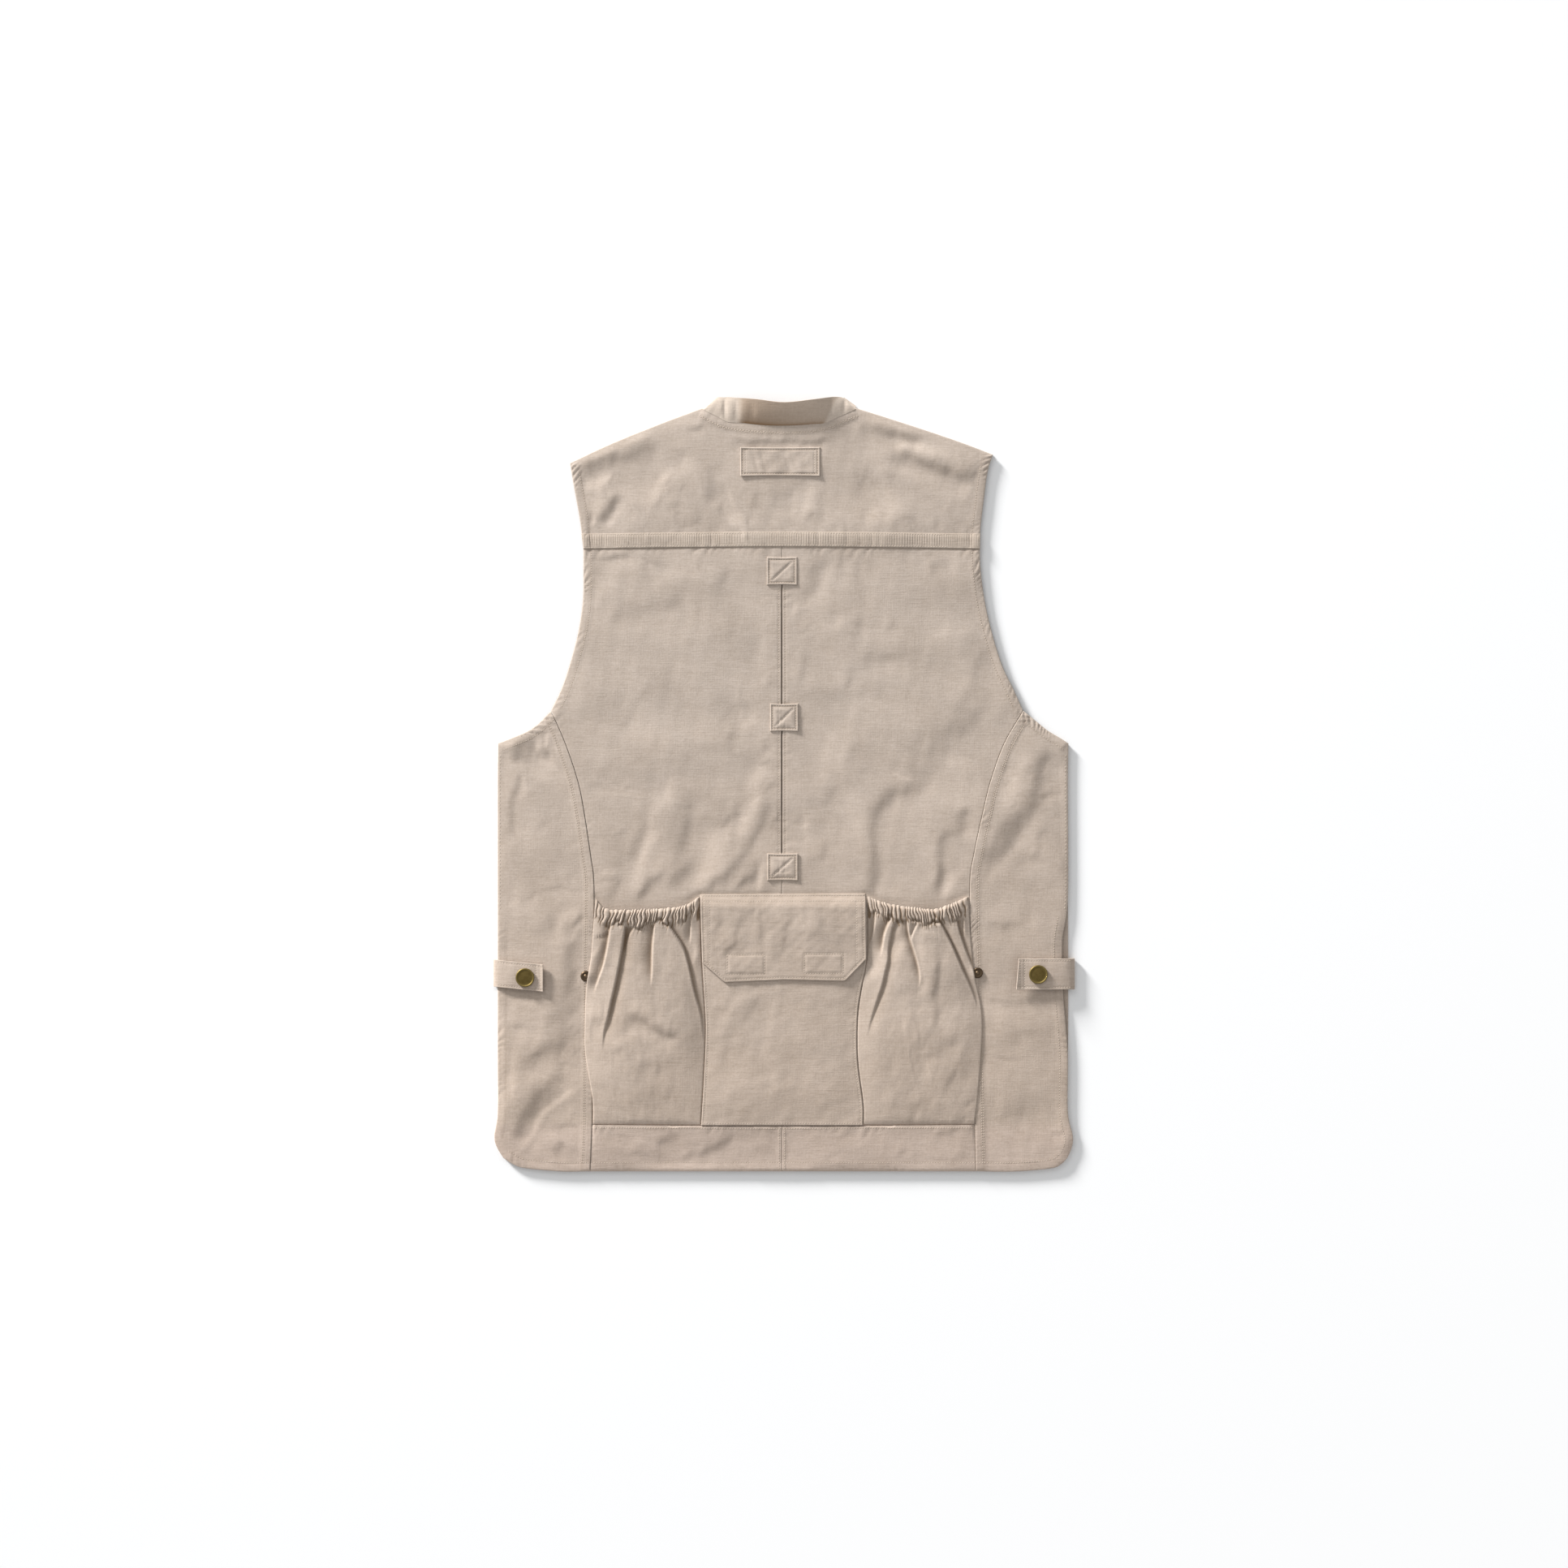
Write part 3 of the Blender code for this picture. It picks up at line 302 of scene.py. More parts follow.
# Where the cloth turns from the light (tilt above 0) or to it (below 0): tilt, width, how far
# the fold reaches to each side, and its points.
bodyFolds = [
    # yoke
    (0.162, 7.4, 33, (-194.2, 301), (-181.7, 309.3), (-154.1, 314.7), (-133.4, 321.8), (-117.3, 326.4)),
    (-0.162, 6.8, 19, (-188.8, 279.2), (-181.7, 288.2), (-167.7, 298.7)),
    (0.292, 3.9, 18, (-157.6, 279.2), (-165.4, 267.9), (-177.1, 250.8)),
    (-0.3, 2.2, 4, (-181.7, 260.9), (-184.9, 246.9)),
    (-0.065, 3.4, 6, (-156.3, 263.2), (-170, 248.4)),
    (-0.034, 6.8, 12, (-95.5, 337.7), (-96.7, 322.8)),
    (-0.097, 7.9, 22, (-86.6, 317.1), (-92, 306.9), (-108.4, 297.6), (-124, 283.8), (-131, 265.6)),
    (0.097, 5.7, 16, (-73.7, 309.3), (-72.5, 297.6), (-70.2, 283.8), (-71.4, 267.9)),
    (0.054, 2.7, 5, (-103.7, 288.2), (-115, 276.9), (-119.7, 265.6)),
    (-0.149, 7.9, 36, (-53, 250.8), (-46, 256.2), (-39.3, 260.9)),
    (0.092, 4, 11, (-21.1, 265.6), (-16.4, 246.9)),
    (-0.115, 3.9, 18, (8.6, 283.8), (10.1, 256.2)),
    (-0.127, 5.7, 16, (29.6, 288.2), (22.6, 272.6), (19.2, 251.6)),
    (0.033, 3.9, 7, (47.6, 288.2), (36.3, 279.2), (31.8, 270.3)),
    (0.092, 2.8, 5, (27.3, 263.2), (21.4, 251.6)),
    (-0.048, 4.5, 8, (46.8, 260.9), (44.5, 249.2)),
    (0.042, 6.8, 30, (75.3, 304.6), (74.1, 295.2), (73.3, 277.3)),
    (0.042, 4.5, 13, (84.2, 295.2), (103, 285.9)),
    (-0.18, 5.7, 10, (109.8, 327.4), (127.9, 324.1), (155.7, 314.7)),
    (0.29, 6.2, 17, (103, 318.2), (127.9, 311.6), (155.7, 301), (183.3, 289.8)),
    (-0.1, 6.8, 12, (91.3, 309.3), (119, 299.9), (142, 290.6)),
    (-0.12, 10.2, 46, (114.3, 274.6), (93.6, 260.9), (75.3, 253.9)),
    (0.23, 6.8, 19, (75.3, 346.9), (93.6, 338.9), (119, 334.2), (139.6, 331.1)),
    (0.25, 4.5, 8, (-50.7, 334.2), (-37.1, 328.8), (-4.9, 328.8), (31.8, 329.6), (47.6, 333.1)),
    (0.22, 2.7, 5, (-93.2, 342.3), (-77.2, 343.6)),
    (-0.08, 4.5, 8, (173.9, 256.2), (178.6, 246.9)),
    (0.11, 2.8, 8, (144.3, 253.9), (145.1, 246.1)),
    (0.07, 3.4, 10, (110, 256.2), (125.6, 253.9)),
    # left back
    (0.2, 2.8, 13, (-182.5, 215.7), (-163.8, 218), (-143.5, 219.6)),
    (0.036, 2.3, 10, (-139.6, 207.5), (-127.1, 216.7)),
    (-0.064, 7.9, 22, (-182.5, 169.7), (-174.3, 188), (-156, 196.2)),
    (-0.074, 10.2, 46, (-129.1, 188), (-112.6, 198.5), (-106.5, 212.6)),
    (0.083, 7.9, 36, (-171.1, 162.6), (-147.4, 165.4), (-127.1, 167.3), (-108.4, 173.6), (-94.4, 182.1)),
    (0.08, 2.8, 8, (-81.9, 216.5), (-84.2, 206.3)),
    (0.055, 6.8, 30, (-58.5, 209.4), (-62.4, 189.9), (-67.5, 175.9)),
    (0.039, 3.1, 9, (-53, 173.6), (-51.1, 153.3), (-57.3, 132.5)),
    (-0.074, 4.5, 20, (-21.3, 144.7), (-20.3, 120.5), (-19.5, 91.7)),
    (0.027, 5.7, 25, (-109.6, 120.5), (-113.9, 101.8), (-117, 81.5)),
    (0.039, 2.8, 13, (-124, 101.8), (-137.3, 85.4), (-147.4, 66.7), (-162.2, 54.5)),
    (0.036, 3.4, 15, (-168.1, 40.2), (-133.4, 35)),
    (0.083, 4, 18, (-33.5, 82.3), (-39, 72.9), (-51.1, 79.2)),
    (-0.06, 9, 25, (-24.4, 71), (-36.7, 56.6), (-42.9, 46.4)),
    (0.086, 3.4, 10, (-47, 52.6), (-52.3, 42.5), (-51.1, 30)),
    (0.036, 9, 25, (-67.5, 42.5), (-73.6, 30)),
    (0.077, 2.8, 13, (-14, 44.3), (-21.3, 35)),
    (-0.12, 7.9, 22, (-18.3, 19.9), (-26.5, 5.1), (-29.6, -11.3), (-34.6, -29.6), (-40.8, -46),
     (-42.9, -56.3)),
    (0.118, 5.1, 9, (-10.1, -17.3), (-17.2, -23.5), (-23.4, -37.8), (-30.6, -51.9), (-40.8, -68.6),
     (-53, -83.1), (-69.6, -97.1), (-79.5, -105.5)),
    (0.101, 4.5, 8, (-44.9, -19.1), (-47, -33.7)),
    (-0.109, 7.9, 22, (-55.4, -35.5), (-63.4, -56.3), (-71.8, -78.9), (-83.9, -95.3), (-91.6, -105.8)),
    (0.109, 7.9, 22, (-92, -5.1), (-94.4, -25.4), (-96.3, -46), (-98.3, -65.1), (-94.4, -78.9),
     (-106.5, -93.2), (-114.9, -103.1)),
    (-0.109, 5.1, 23, (-108.4, 11.3), (-112.6, -7), (-123.2, -29.6), (-129.1, -48), (-137.3, -70.6),
     (-143.5, -93.2), (-147.6, -109.6)),
    (0.109, 4.5, 13, (-131, -29.6), (-139.6, -56.3), (-149.8, -74.5)),
    (0.151, 4.5, 13, (-112.6, -83.1), (-127.1, -93.2), (-137.3, -105.7), (-145.5, -115.8)),
    (0.11, 3.1, 5, (-172.4, -89.3), (-161.9, -90.9)),
    (0.1, 5.1, 23, (-153.7, -87), (-168.1, -105.7), (-176, -116)),
    (0.076, 4, 7, (-24.4, -78.9), (-32.8, -90.9), (-46.8, -97.1)),
    (-0.05, 3.4, 6, (-36.7, -80.7), (-44.9, -90.9), (-53, -101)),
    (-0.25, 2.8, 13, (-20.7, -72.7), (-23.4, -93.2), (-25.1, -106.1)),
    (0.027, 2.2, 8, (-92, -4), (-36.7, -4)),
    (-0.069, 3.4, 15, (-182.5, -9), (-129.1, -9)),
    (0.07, 3.4, 10, (-187.6, -0.9), (-177.3, 0.4)),
    (0.069, 2.3, 6, (-17.2, -7), (-8, 0.4)),
    # right back
    (0.166, 4.7, 21, (35.1, 219.8), (28.9, 202.4), (26.1, 189.9), (20, 173.6)),
    (-0.039, 5.7, 25, (50.7, 218.8), (42.5, 204.4), (34.3, 186), (28.1, 169.7)),
    (0.08, 2.3, 6, (56.9, 218.8), (53.8, 208.7)),
    (-0.027, 2.2, 4, (60.8, 214.9), (59, 189.9)),
    (0.074, 4.5, 13, (69.2, 216.7), (71, 196.2), (73.3, 173.6)),
    (-0.083, 6.8, 12, (56.9, 163.4), (51.5, 147)),
    (-0.032, 7.9, 36, (54.6, 124.4), (50.7, 104.1), (44.5, 87.4)),
    (0.074, 4.5, 13, (66.1, 153.3), (75.3, 159.5)),
    (0.083, 3.4, 15, (20, 130.7), (17.9, 111.9), (16.8, 91.7)),
    (-0.092, 2.8, 8, (12.5, 175.9), (8.6, 161.1)),
    (0.074, 5.7, 16, (69.2, 122.1), (89.7, 121.3), (110, 124.4), (122.5, 128.3)),
    (-0.039, 4.7, 21, (66.1, 91.7), (73.3, 99.7), (87.4, 106.9), (110, 110), (138.8, 108)),
    (0.074, 3.4, 10, (63, 104.1), (60.8, 91.7)),
    (-0.069, 10.2, 46, (66.1, 87.4), (63, 71), (56.9, 50.3), (44.5, 30), (32, 5.1)),
    (0.06, 6.8, 30, (77.2, 50.3), (98, 50.3), (118.6, 46.4), (143.1, 44.3)),
    (0.031, 5.7, 16, (75.3, 38.1), (69.2, 27.7)),
    (0.095, 9, 41, (190.3, 77.1), (176, 58.9), (159.5, 50.3), (151.3, 40.2), (145.9, 21.7)),
    (0.06, 5.7, 25, (194.2, 130.7), (186.2, 108), (173.9, 83.3), (161.5, 65.1)),
    (-0.05, 6.8, 19, (208.8, 87.4), (196.6, 60.7)),
    (-0.055, 5.7, 25, (177.8, 104.1), (169.8, 91.7)),
    (-0.055, 6.8, 19, (128.7, 143.1), (169.8, 147), (184.1, 144.7)),
    (0.055, 4, 11, (98, 149), (110, 153.3)),
    (0.08, 6.8, 30, (138.8, 204.8), (157.6, 216.7)),
    (0.13, 6.8, 19, (122.5, 11.3), (126.4, 1.2), (118.6, -7), (106.1, -7), (95.9, -17.3), (87.4, -29.6),
     (84.6, -51.9), (86.6, -72.9), (85.6, -97.1), (85.1, -110.1)),
    (-0.031, 5.1, 9, (130.8, -2.7), (114.3, -16), (102.2, -29.6), (95.9, -51.9), (95.9, -72.9),
     (95.9, -93.2), (95.9, -106.2)),
    (-0.033, 13.6, 61, (180.2, 30), (143.1, -5.1), (126.4, -21.4)),
    (-0.043, 5.7, 10, (67.1, -31.6), (77.2, -62.5), (75.3, -93.2), (74.5, -106.2)),
    (0.112, 5.1, 23, (52.8, -0.9), (44.5, -11.3), (40.6, -21.4)),
    (0.11, 3.4, 15, (39.5, -51.9), (36.3, -76.8)),
    (0.052, 2.3, 10, (28.1, -2.7), (42.5, -3.5)),
    (0.17, 5.1, 23, (177.8, -22.2), (169.8, -33.7), (167.7, -50.3)),
    (0.15, 4.5, 20, (157.6, -44.1), (150.3, -56.3), (150.3, -78.9), (148.2, -101.5), (147, -114.4)),
    (-0.17, 5.7, 10, (163.6, -80.7), (157.6, -97.1), (153.1, -109.3)),
    (-0.043, 4.5, 13, (143.1, -51.9), (142, -85), (141.6, -98)),
    (-0.11, 3.4, 15, (18.7, -21.4), (21.1, -62.5)),
    # left side panel
    (0.2, 9, 41, (-241.3, 44.9), (-249.9, 33.9), (-259.7, 20.7)),
    (0.17, 4.5, 8, (-237.9, 29.2), (-224.3, 30)),
    (0.13, 2.3, 10, (-230.9, 42.5), (-230.9, 31.6)),
    (-0.22, 2.3, 6, (-228.5, 48.8), (-228, 36.3)),
    (0.138, 3.1, 14, (-257.4, 14.4), (-255.8, -0.4), (-260.8, -17.6), (-262.1, -34.4), (-259.7, -53.9)),
    (-0.127, 3.1, 9, (-251.2, 7), (-249.9, -12.5)),
    (0.115, 2.3, 10, (-240.2, -100.2), (-191.4, -101.5)),
    (0.043, 5.7, 25, (-255.1, -112.4), (-237.9, -104.9)),
    (0.06, 5.7, 25, (-216.1, -124.4), (-232.8, -139.2), (-244.9, -146.2)),
    (-0.1, 4.7, 21, (-193.8, -114.9), (-208.5, -124.4), (-214.5, -139.2), (-218.4, -158.7), (-217, -175.9),
     (-221.8, -197.7)),
    (0.14, 3.4, 6, (-193.8, -124.4), (-201.2, -136.9)),
    (-0.09, 3.4, 6, (-196.6, -134.6), (-205.9, -151.4)),
    (0.12, 9, 41, (-197.5, -149), (-207.5, -165.8), (-205.9, -188), (-208.5, -212.6), (-216.1, -229.4),
     (-217, -248.9), (-232.8, -258.6), (-244.9, -268.4), (-249.9, -285.5)),
    (-0.19, 3.4, 6, (-196.6, -178.2), (-195, -192.9)),
    (-0.06, 9, 41, (-262.1, -243.8), (-232.8, -246.5)),
    (-0.11, 5.7, 25, (-262.1, -207.5), (-232.8, -204.8)),
    (0.12, 2.3, 10, (-266, -230.5), (-244.9, -232.8)),
    (-0.12, 6.8, 12, (-262.1, -273.4), (-263.6, -305)),
    (0.18, 7.9, 36, (-205.9, -280.4), (-225.4, -287.9), (-237.9, -302.2), (-247.5, -319.4), (-257.4, -336.6),
     (-262.1, -344)),
    (-0.13, 3.8, 6, (-196.6, -292.9), (-213.3, -299.9), (-228, -312.4), (-237.9, -324.5), (-247.5, -341.2),
     (-255.1, -353.7)),
    (0.13, 2.2, 8, (-223.1, -329.6), (-196.6, -328)),
    (0.12, 5.7, 25, (-223.1, -356.1), (-212.2, -341.2)),
    (-0.05, 4.5, 20, (-203.6, -246.5), (-196.6, -251.6)),
    (0.05, 3.4, 15, (-198.9, -234.4), (-205.9, -236.7)),
    # right side panel
    (0.138, 9, 25, (262.5, 33.9), (247.8, 24.1), (243, 7), (241.8, -7.4), (235.6, -22.2), (223.5, -34.4),
     (211.4, -53.9), (196.6, -73.4), (190.3, -80.7)),
    (-0.064, 7.9, 36, (245.4, 32.6), (233.2, 19.1), (220.7, -5.1), (206.4, -24.6)),
    (-0.055, 5.7, 10, (255.1, 7), (252.7, -17.4), (240.2, -39.4), (225.9, -58.9), (206.4, -80.7),
     (191.9, -97.9)),
    (0.083, 2.2, 6, (263.6, -6.4), (252.7, -8.8), (246.5, -14.9)),
    (0.055, 5.7, 10, (255.1, -41.7), (240.2, -51.5)),
    (0.074, 4.5, 13, (250.4, -65.9), (225.9, -73.4)),
    (0.1, 4, 18, (191.9, -129.5), (201.2, -135.3), (211.4, -136.9), (230.9, -131.9)),
    (0.05, 5.7, 25, (225.9, -123.4), (235.6, -119.7)),
    (0.043, 2.8, 8, (196.6, -156.4), (209, -158.7)),
    (0.111, 3.1, 14, (191.9, -202.4), (206.4, -208.7), (230.9, -208.7), (245.4, -206.3), (257.4, -202.4)),
    (0.051, 7.9, 22, (225.9, -235.2), (211.4, -243.8)),
    (-0.022, 5.5, 9, (220.7, -256.2), (245.4, -243.8)),
    (0.093, 2.3, 6, (196.6, -258.6), (211.4, -263.2), (230.9, -264.8)),
    (0.093, 2.8, 8, (255.1, -335.5), (268.3, -334.2)),
    (0.051, 10.2, 28, (201.2, -319.4), (245.4, -310.1)),
    # hem bands
    (0.13, 4, 18, (-100.6, -333.4), (-114.7, -342.5), (-126, -348.3)),
    (0.15, 3.4, 15, (-46, -335.8), (-64, -347.1), (-73.3, -350.6), (-88.1, -358.4)),
    (-0.06, 4.5, 20, (-29.6, -339.7), (-32, -349.1)),
    (-0.07, 6.8, 19, (-146.6, -339.7), (-149.8, -350.6)),
    (0.042, 2.3, 10, (7, -349.1), (18.5, -356.1)),
    (0.1, 3.4, 15, (170, -333.4), (144.3, -335.8)),
    (0.07, 2.3, 10, (174.5, -355.3), (160.7, -360.8)),
    (0.042, 2.3, 10, (126.4, -344.4), (124.8, -360.8)),
    (-0.042, 2.3, 10, (121.7, -339.7), (120.9, -356.9)),
    (-0.042, 2.8, 5, (92.8, -338.1), (92, -355.3)),
    (0.025, 4.5, 20, (85, -338.1), (84.2, -355.3)),
]

# chance creases between them: seed, area, count, lean in degrees and its spread, lengths, tilt, width
for creases in (
    (101, (-190, 236, -90, 330), 16, 60, 45, (16, 42), 0.07, 2.6),  # yoke, left
    (102, (-90, 236, 80, 300), 20, 85, 30, (14, 40), 0.07, 2.4),
    (103, (80, 236, 190, 322), 16, 120, 45, (16, 42), 0.08, 2.6),
    (104, (-190, -100, -20, 215), 26, 20, 60, (14, 46), 0.04, 2.6),  # backs
    (105, (15, -100, 185, 215), 26, 160, 60, (14, 46), 0.04, 2.6),
    (106, (-22, -90, -4, 185), 20, 20, 18, (8, 18), 0.08, 1.6),  # beside the slit
    (107, (0, -90, 20, 185), 20, 15, 18, (8, 18), 0.08, 1.6),
    (108, (-270, -350, -192, 36), 30, 25, 50, (12, 40), 0.045, 2.6),  # sides
    (109, (192, -350, 268, 36), 30, 155, 50, (12, 40), 0.045, 2.6),
    (110, (-180, -369, 180, -332), 30, 40, 40, (8, 26), 0.07, 2.0),  # hem
    (111, (-190, 205, 185, 226), 26, 95, 25, (9, 20), 0.08, 1.7),  # under the tape
    (112, (-190, 232, 185, 262), 20, 88, 20, (10, 24), 0.07, 1.8),
    (113, (-180, 236, -60, 326), 26, 50, 50, (6, 16), 0.11, 1.7),  # small sharp ones
    (114, (-175, -100, -30, 0), 20, 35, 45, (6, 18), 0.1, 1.7),
    (115, (-264, -340, -200, -40), 30, 35, 50, (6, 18), 0.1, 1.7),
    (116, (200, -60, 262, 20), 16, 140, 50, (6, 16), 0.1, 1.7),
):
    bodyFolds += creaseList(*creases)

# Sewn lines on the back. Each sinks and puckers on one side (1 left of its run) or on both (0), with
# a band raised by its lift beside it, and rows of stitches at their distances. The puckers have a
# height, a pitch, a reach and a slant, and fade out over the ends. Heap is cloth lifted by the
# layer below, and gap is the strength of a painted shadow, the dark line under the collar. The
# creases between the puckers and the stitched rows get painted shade as well.
slitRow = 2.9  # from the slit to its stitches
plainSeam = {"side": 0, "band": 0, "lift": 0.0, "rows": (), "ends": 3, "heap": 0, "gap": 0}
seams = [
    {"line": armLeft, "band": 8.5, "lift": 0.3, "rows": (7.8,),
     "pucker": 0.3, "pitch": 5.4, "reach": 13, "slant": 0.8},
    {"line": armRight, "band": 8.5, "lift": 0.3, "rows": (7.8,),
     "pucker": 0.34, "pitch": 5.2, "reach": 13, "slant": -0.8},
    {"line": hemLine, "band": 9.5, "lift": 0.25, "rows": (8.6,),
     "pucker": 0.13, "pitch": 7, "reach": 14, "slant": 0.5},
    {"line": ventLeft, "band": 9, "lift": 0.25, "rows": (8.0,), "ends": 30,
     "pucker": 0.2, "pitch": 6.4, "reach": 14, "slant": 0.5},
    {"line": ventRight, "band": 9, "lift": 0.25, "rows": (8.0,), "ends": 30,
     "pucker": 0.16, "pitch": 6.2, "reach": 14, "slant": 0.5},
    {"line": lines["longLeft"], "side": -1, "band": 8.5, "lift": 0.45, "rows": (6.6, 8.2),
     "pucker": 0.15, "pitch": 6, "reach": 14, "slant": 0.5},
    {"line": lines["longRight"], "side": 1, "band": 8.5, "lift": 0.4, "rows": (6.6, 8.2),
     "pucker": 0.16, "pitch": 5.2, "reach": 14, "slant": 0.6},
    {"line": between(lines["longRight"], -180, -120), "side": 1,
     "pucker": 0.36, "pitch": 4.5, "reach": 11, "slant": 0.9},
    {"line": between(lines["longLeft"], -160, -110), "side": -1,
     "pucker": 0.22, "pitch": 4.5, "reach": 10, "slant": 0.6},
    {"line": lines["longLeft"], "side": 1, "pucker": 0.09, "pitch": 7, "reach": 12, "slant": 0.3},
    {"line": lines["longRight"], "side": -1, "pucker": 0.09, "pitch": 7, "reach": 12, "slant": 0.3},
    {"line": lines["neck"], "side": -1, "band": 9.5, "lift": 0.6, "rows": (7.6, 9.4), "gap": 0.95,
     "pucker": 0.08, "pitch": 7, "reach": 16, "slant": 0.2},
    {"line": np.array([(centreX, levelOf["slitTop"]), (centreX, -92.0)]), "rows": (slitRow,),
     "pucker": 0.13, "pitch": 8, "reach": 14, "slant": 0.25},
    {"line": np.array([(centreX, levelOf["hemSeam"]), (centreX, levelOf["hem"])]), "band": 3, "lift": 0.12,
     "pucker": 0.08, "pitch": 7, "reach": 10, "slant": 0.2},
    {"line": lines["yokeSeam"], "side": -1, "pucker": 0.22, "pitch": 9, "reach": 15, "slant": 0.3},
    {"line": lines["yokeSeam"], "side": 1, "pucker": 0.12, "pitch": 11, "reach": 32, "slant": 0.1},
    {"line": lines["hemSeam"], "side": -1, "heap": 1.25,
     "pucker": 0.14, "pitch": 8, "reach": 14, "slant": 0.3},
]

# Lines where the back dips into the pouches, and a little along the flap, the tape and the slit: how deep,
# how wide and how much painted shade lies along them.
dips = [
    (lines["mouthLeft"] + (0, 2), 0.5, 3.5, 0.16),
    (lines["mouthRight"] + (0, 2), 0.5, 3.5, 0.16),
    (np.array([(-80.5, -104.6), (78.3, -103.9)]), 0.3, 1.3, 0.3),
    (lines["yokeSeam"] - (0, 1.2), 0.15, 1.2, 0.34),
    (np.array([(centreX, 190.0), (centreX, -65.0)]), 0.1, 0.8, 0.4),
]


def lightSide(line):
    # 1 where the light travels to the left of a line's run, or else -1.
    run = line[-1] - line[0]
    return 1 if run[0] * lightRun[1] - run[1] * lightRun[0] > 0 else -1


def alongFold(x, y, line, blend=4.0):
    # The signed way across a fold, the way along it and the distance to it, eased between its parts
    # so that bends leave no break.
    middle, run = (line[1:] + line[:-1]) / 2, np.diff(line, axis=0)
    length = np.linalg.norm(run, axis=1)
    run = run / length[:, None]
    dx, dy = x[:, None] - middle[:, 0], y[:, None] - middle[:, 1]
    squared = dx**2 + dy**2
    weight = length * np.exp(-(squared - squared.min(axis=1)[:, None]) / blend**2)
    weight /= weight.sum(axis=1)[:, None]
    across = (weight * (run[:, 0] * dy - run[:, 1] * dx)).sum(axis=1)
    onPart = np.clip(run[:, 0] * dx + run[:, 1] * dy, -3, 3)
    along = (weight * (np.cumsum(length) - length / 2 + onPart)).sum(axis=1)
    return across, along, np.sqrt(squared.min(axis=1))


def foldHeight(x, y, folds):
    # Height and shade of a list of folds. Each falls away from the light over its width, and comes
    # back to the level of the cloth over its reach.
    height, shade = np.zeros(x.shape), np.zeros(x.shape)
    x, y = x + ripples(x, y, 91, 9, 12, 50, 0.8), y + ripples(x, y, 92, 9, 12, 50, 0.8)
    for tilt, width, reach, *points in folds:
        line = smooth(points, 4)
        here = inReach(x, y, line, 2.2 * reach)
        if not here.any():
            continue
        away, along, gap = alongFold(x[here], y[here], line)
        away = away * lightSide(line)
        length = walked(line)[-1]
        soft = min(0.35 * length, 16)  # its ends fade out over this
        fade = ease((along + 1) / soft) * ease((length - along + 1) / soft)
        away = away / (0.6 + 0.4 * fade)
        fade = fade * bell(gap, reach)
        height[here] -= tilt * width * np.tanh(away / width) * fade
        # painted shade on the side of the fold that turns from the light
        shade[here] += 0.3 * max(tilt, 0) * bell(away, width) * fade
    return height, shade


pleatMake = {"depth": 1.32, "crest": 0.2, "dark": 0.4}  # shares of a pleat's sink: its depth, its crest and the painted shade on its sunk side


def pleatHeight(x, y, pleats):
    # Sharp pleats, where one flat of cloth ends over the next: how deep the cloth sinks beside the
    # line (above 0 on the side away from the light, below 0 on the lit side), how sharply, how far
    # it takes to come back, and the points of the line from its deep end.
    height, shade = np.zeros(x.shape), np.zeros(x.shape)
    for sink, sharp, reach, *points in pleats:
        line = smooth(points, 5)
        here = inReach(x, y, line, 4 * reach)
        gap, along, side = nearest(x[here], y[here], line)
        away = gap * side * lightSide(line) * (1 if sink > 0 else -1)
        length = walked(line)[-1]
        fade = ease((along + 1) / 3) * ease((length - along) / (0.42 * length)) ** 0.7
        step = 0.5 + 0.5 * np.tanh(away / sharp)
        back = np.exp(-((np.maximum(away, 0) / reach) ** 1.4))
        height[here] -= pleatMake["depth"] * abs(sink) * step * back * fade
        crest = bell(np.minimum(away, 0), 0.8 * reach)
        height[here] += pleatMake["crest"] * abs(sink) * crest * (1 - step) * fade
        # painted shade on the sunk side of the pleat
        dark = np.exp(-((np.maximum(away, 0) / (0.85 * reach)) ** 1.2))
        shade[here] += pleatMake["dark"] * abs(sink) * step * dark * fade
    return height, shade


def ripples(x, y, seed, count, shortest, longest, height):
    # Soft unevenness: a sum of a few long waves in all directions.
    dice = np.random.default_rng(seed)
    total = np.zeros(x.shape)
    for _ in range(count):
        length, angle, phase = dice.uniform(shortest, longest), dice.uniform(0, math.pi), dice.uniform(0, 6.3)
        total += np.sin(2 * math.pi * (x * math.cos(angle) + y * math.sin(angle)) / length + phase)
    return total * height / math.sqrt(count / 2)


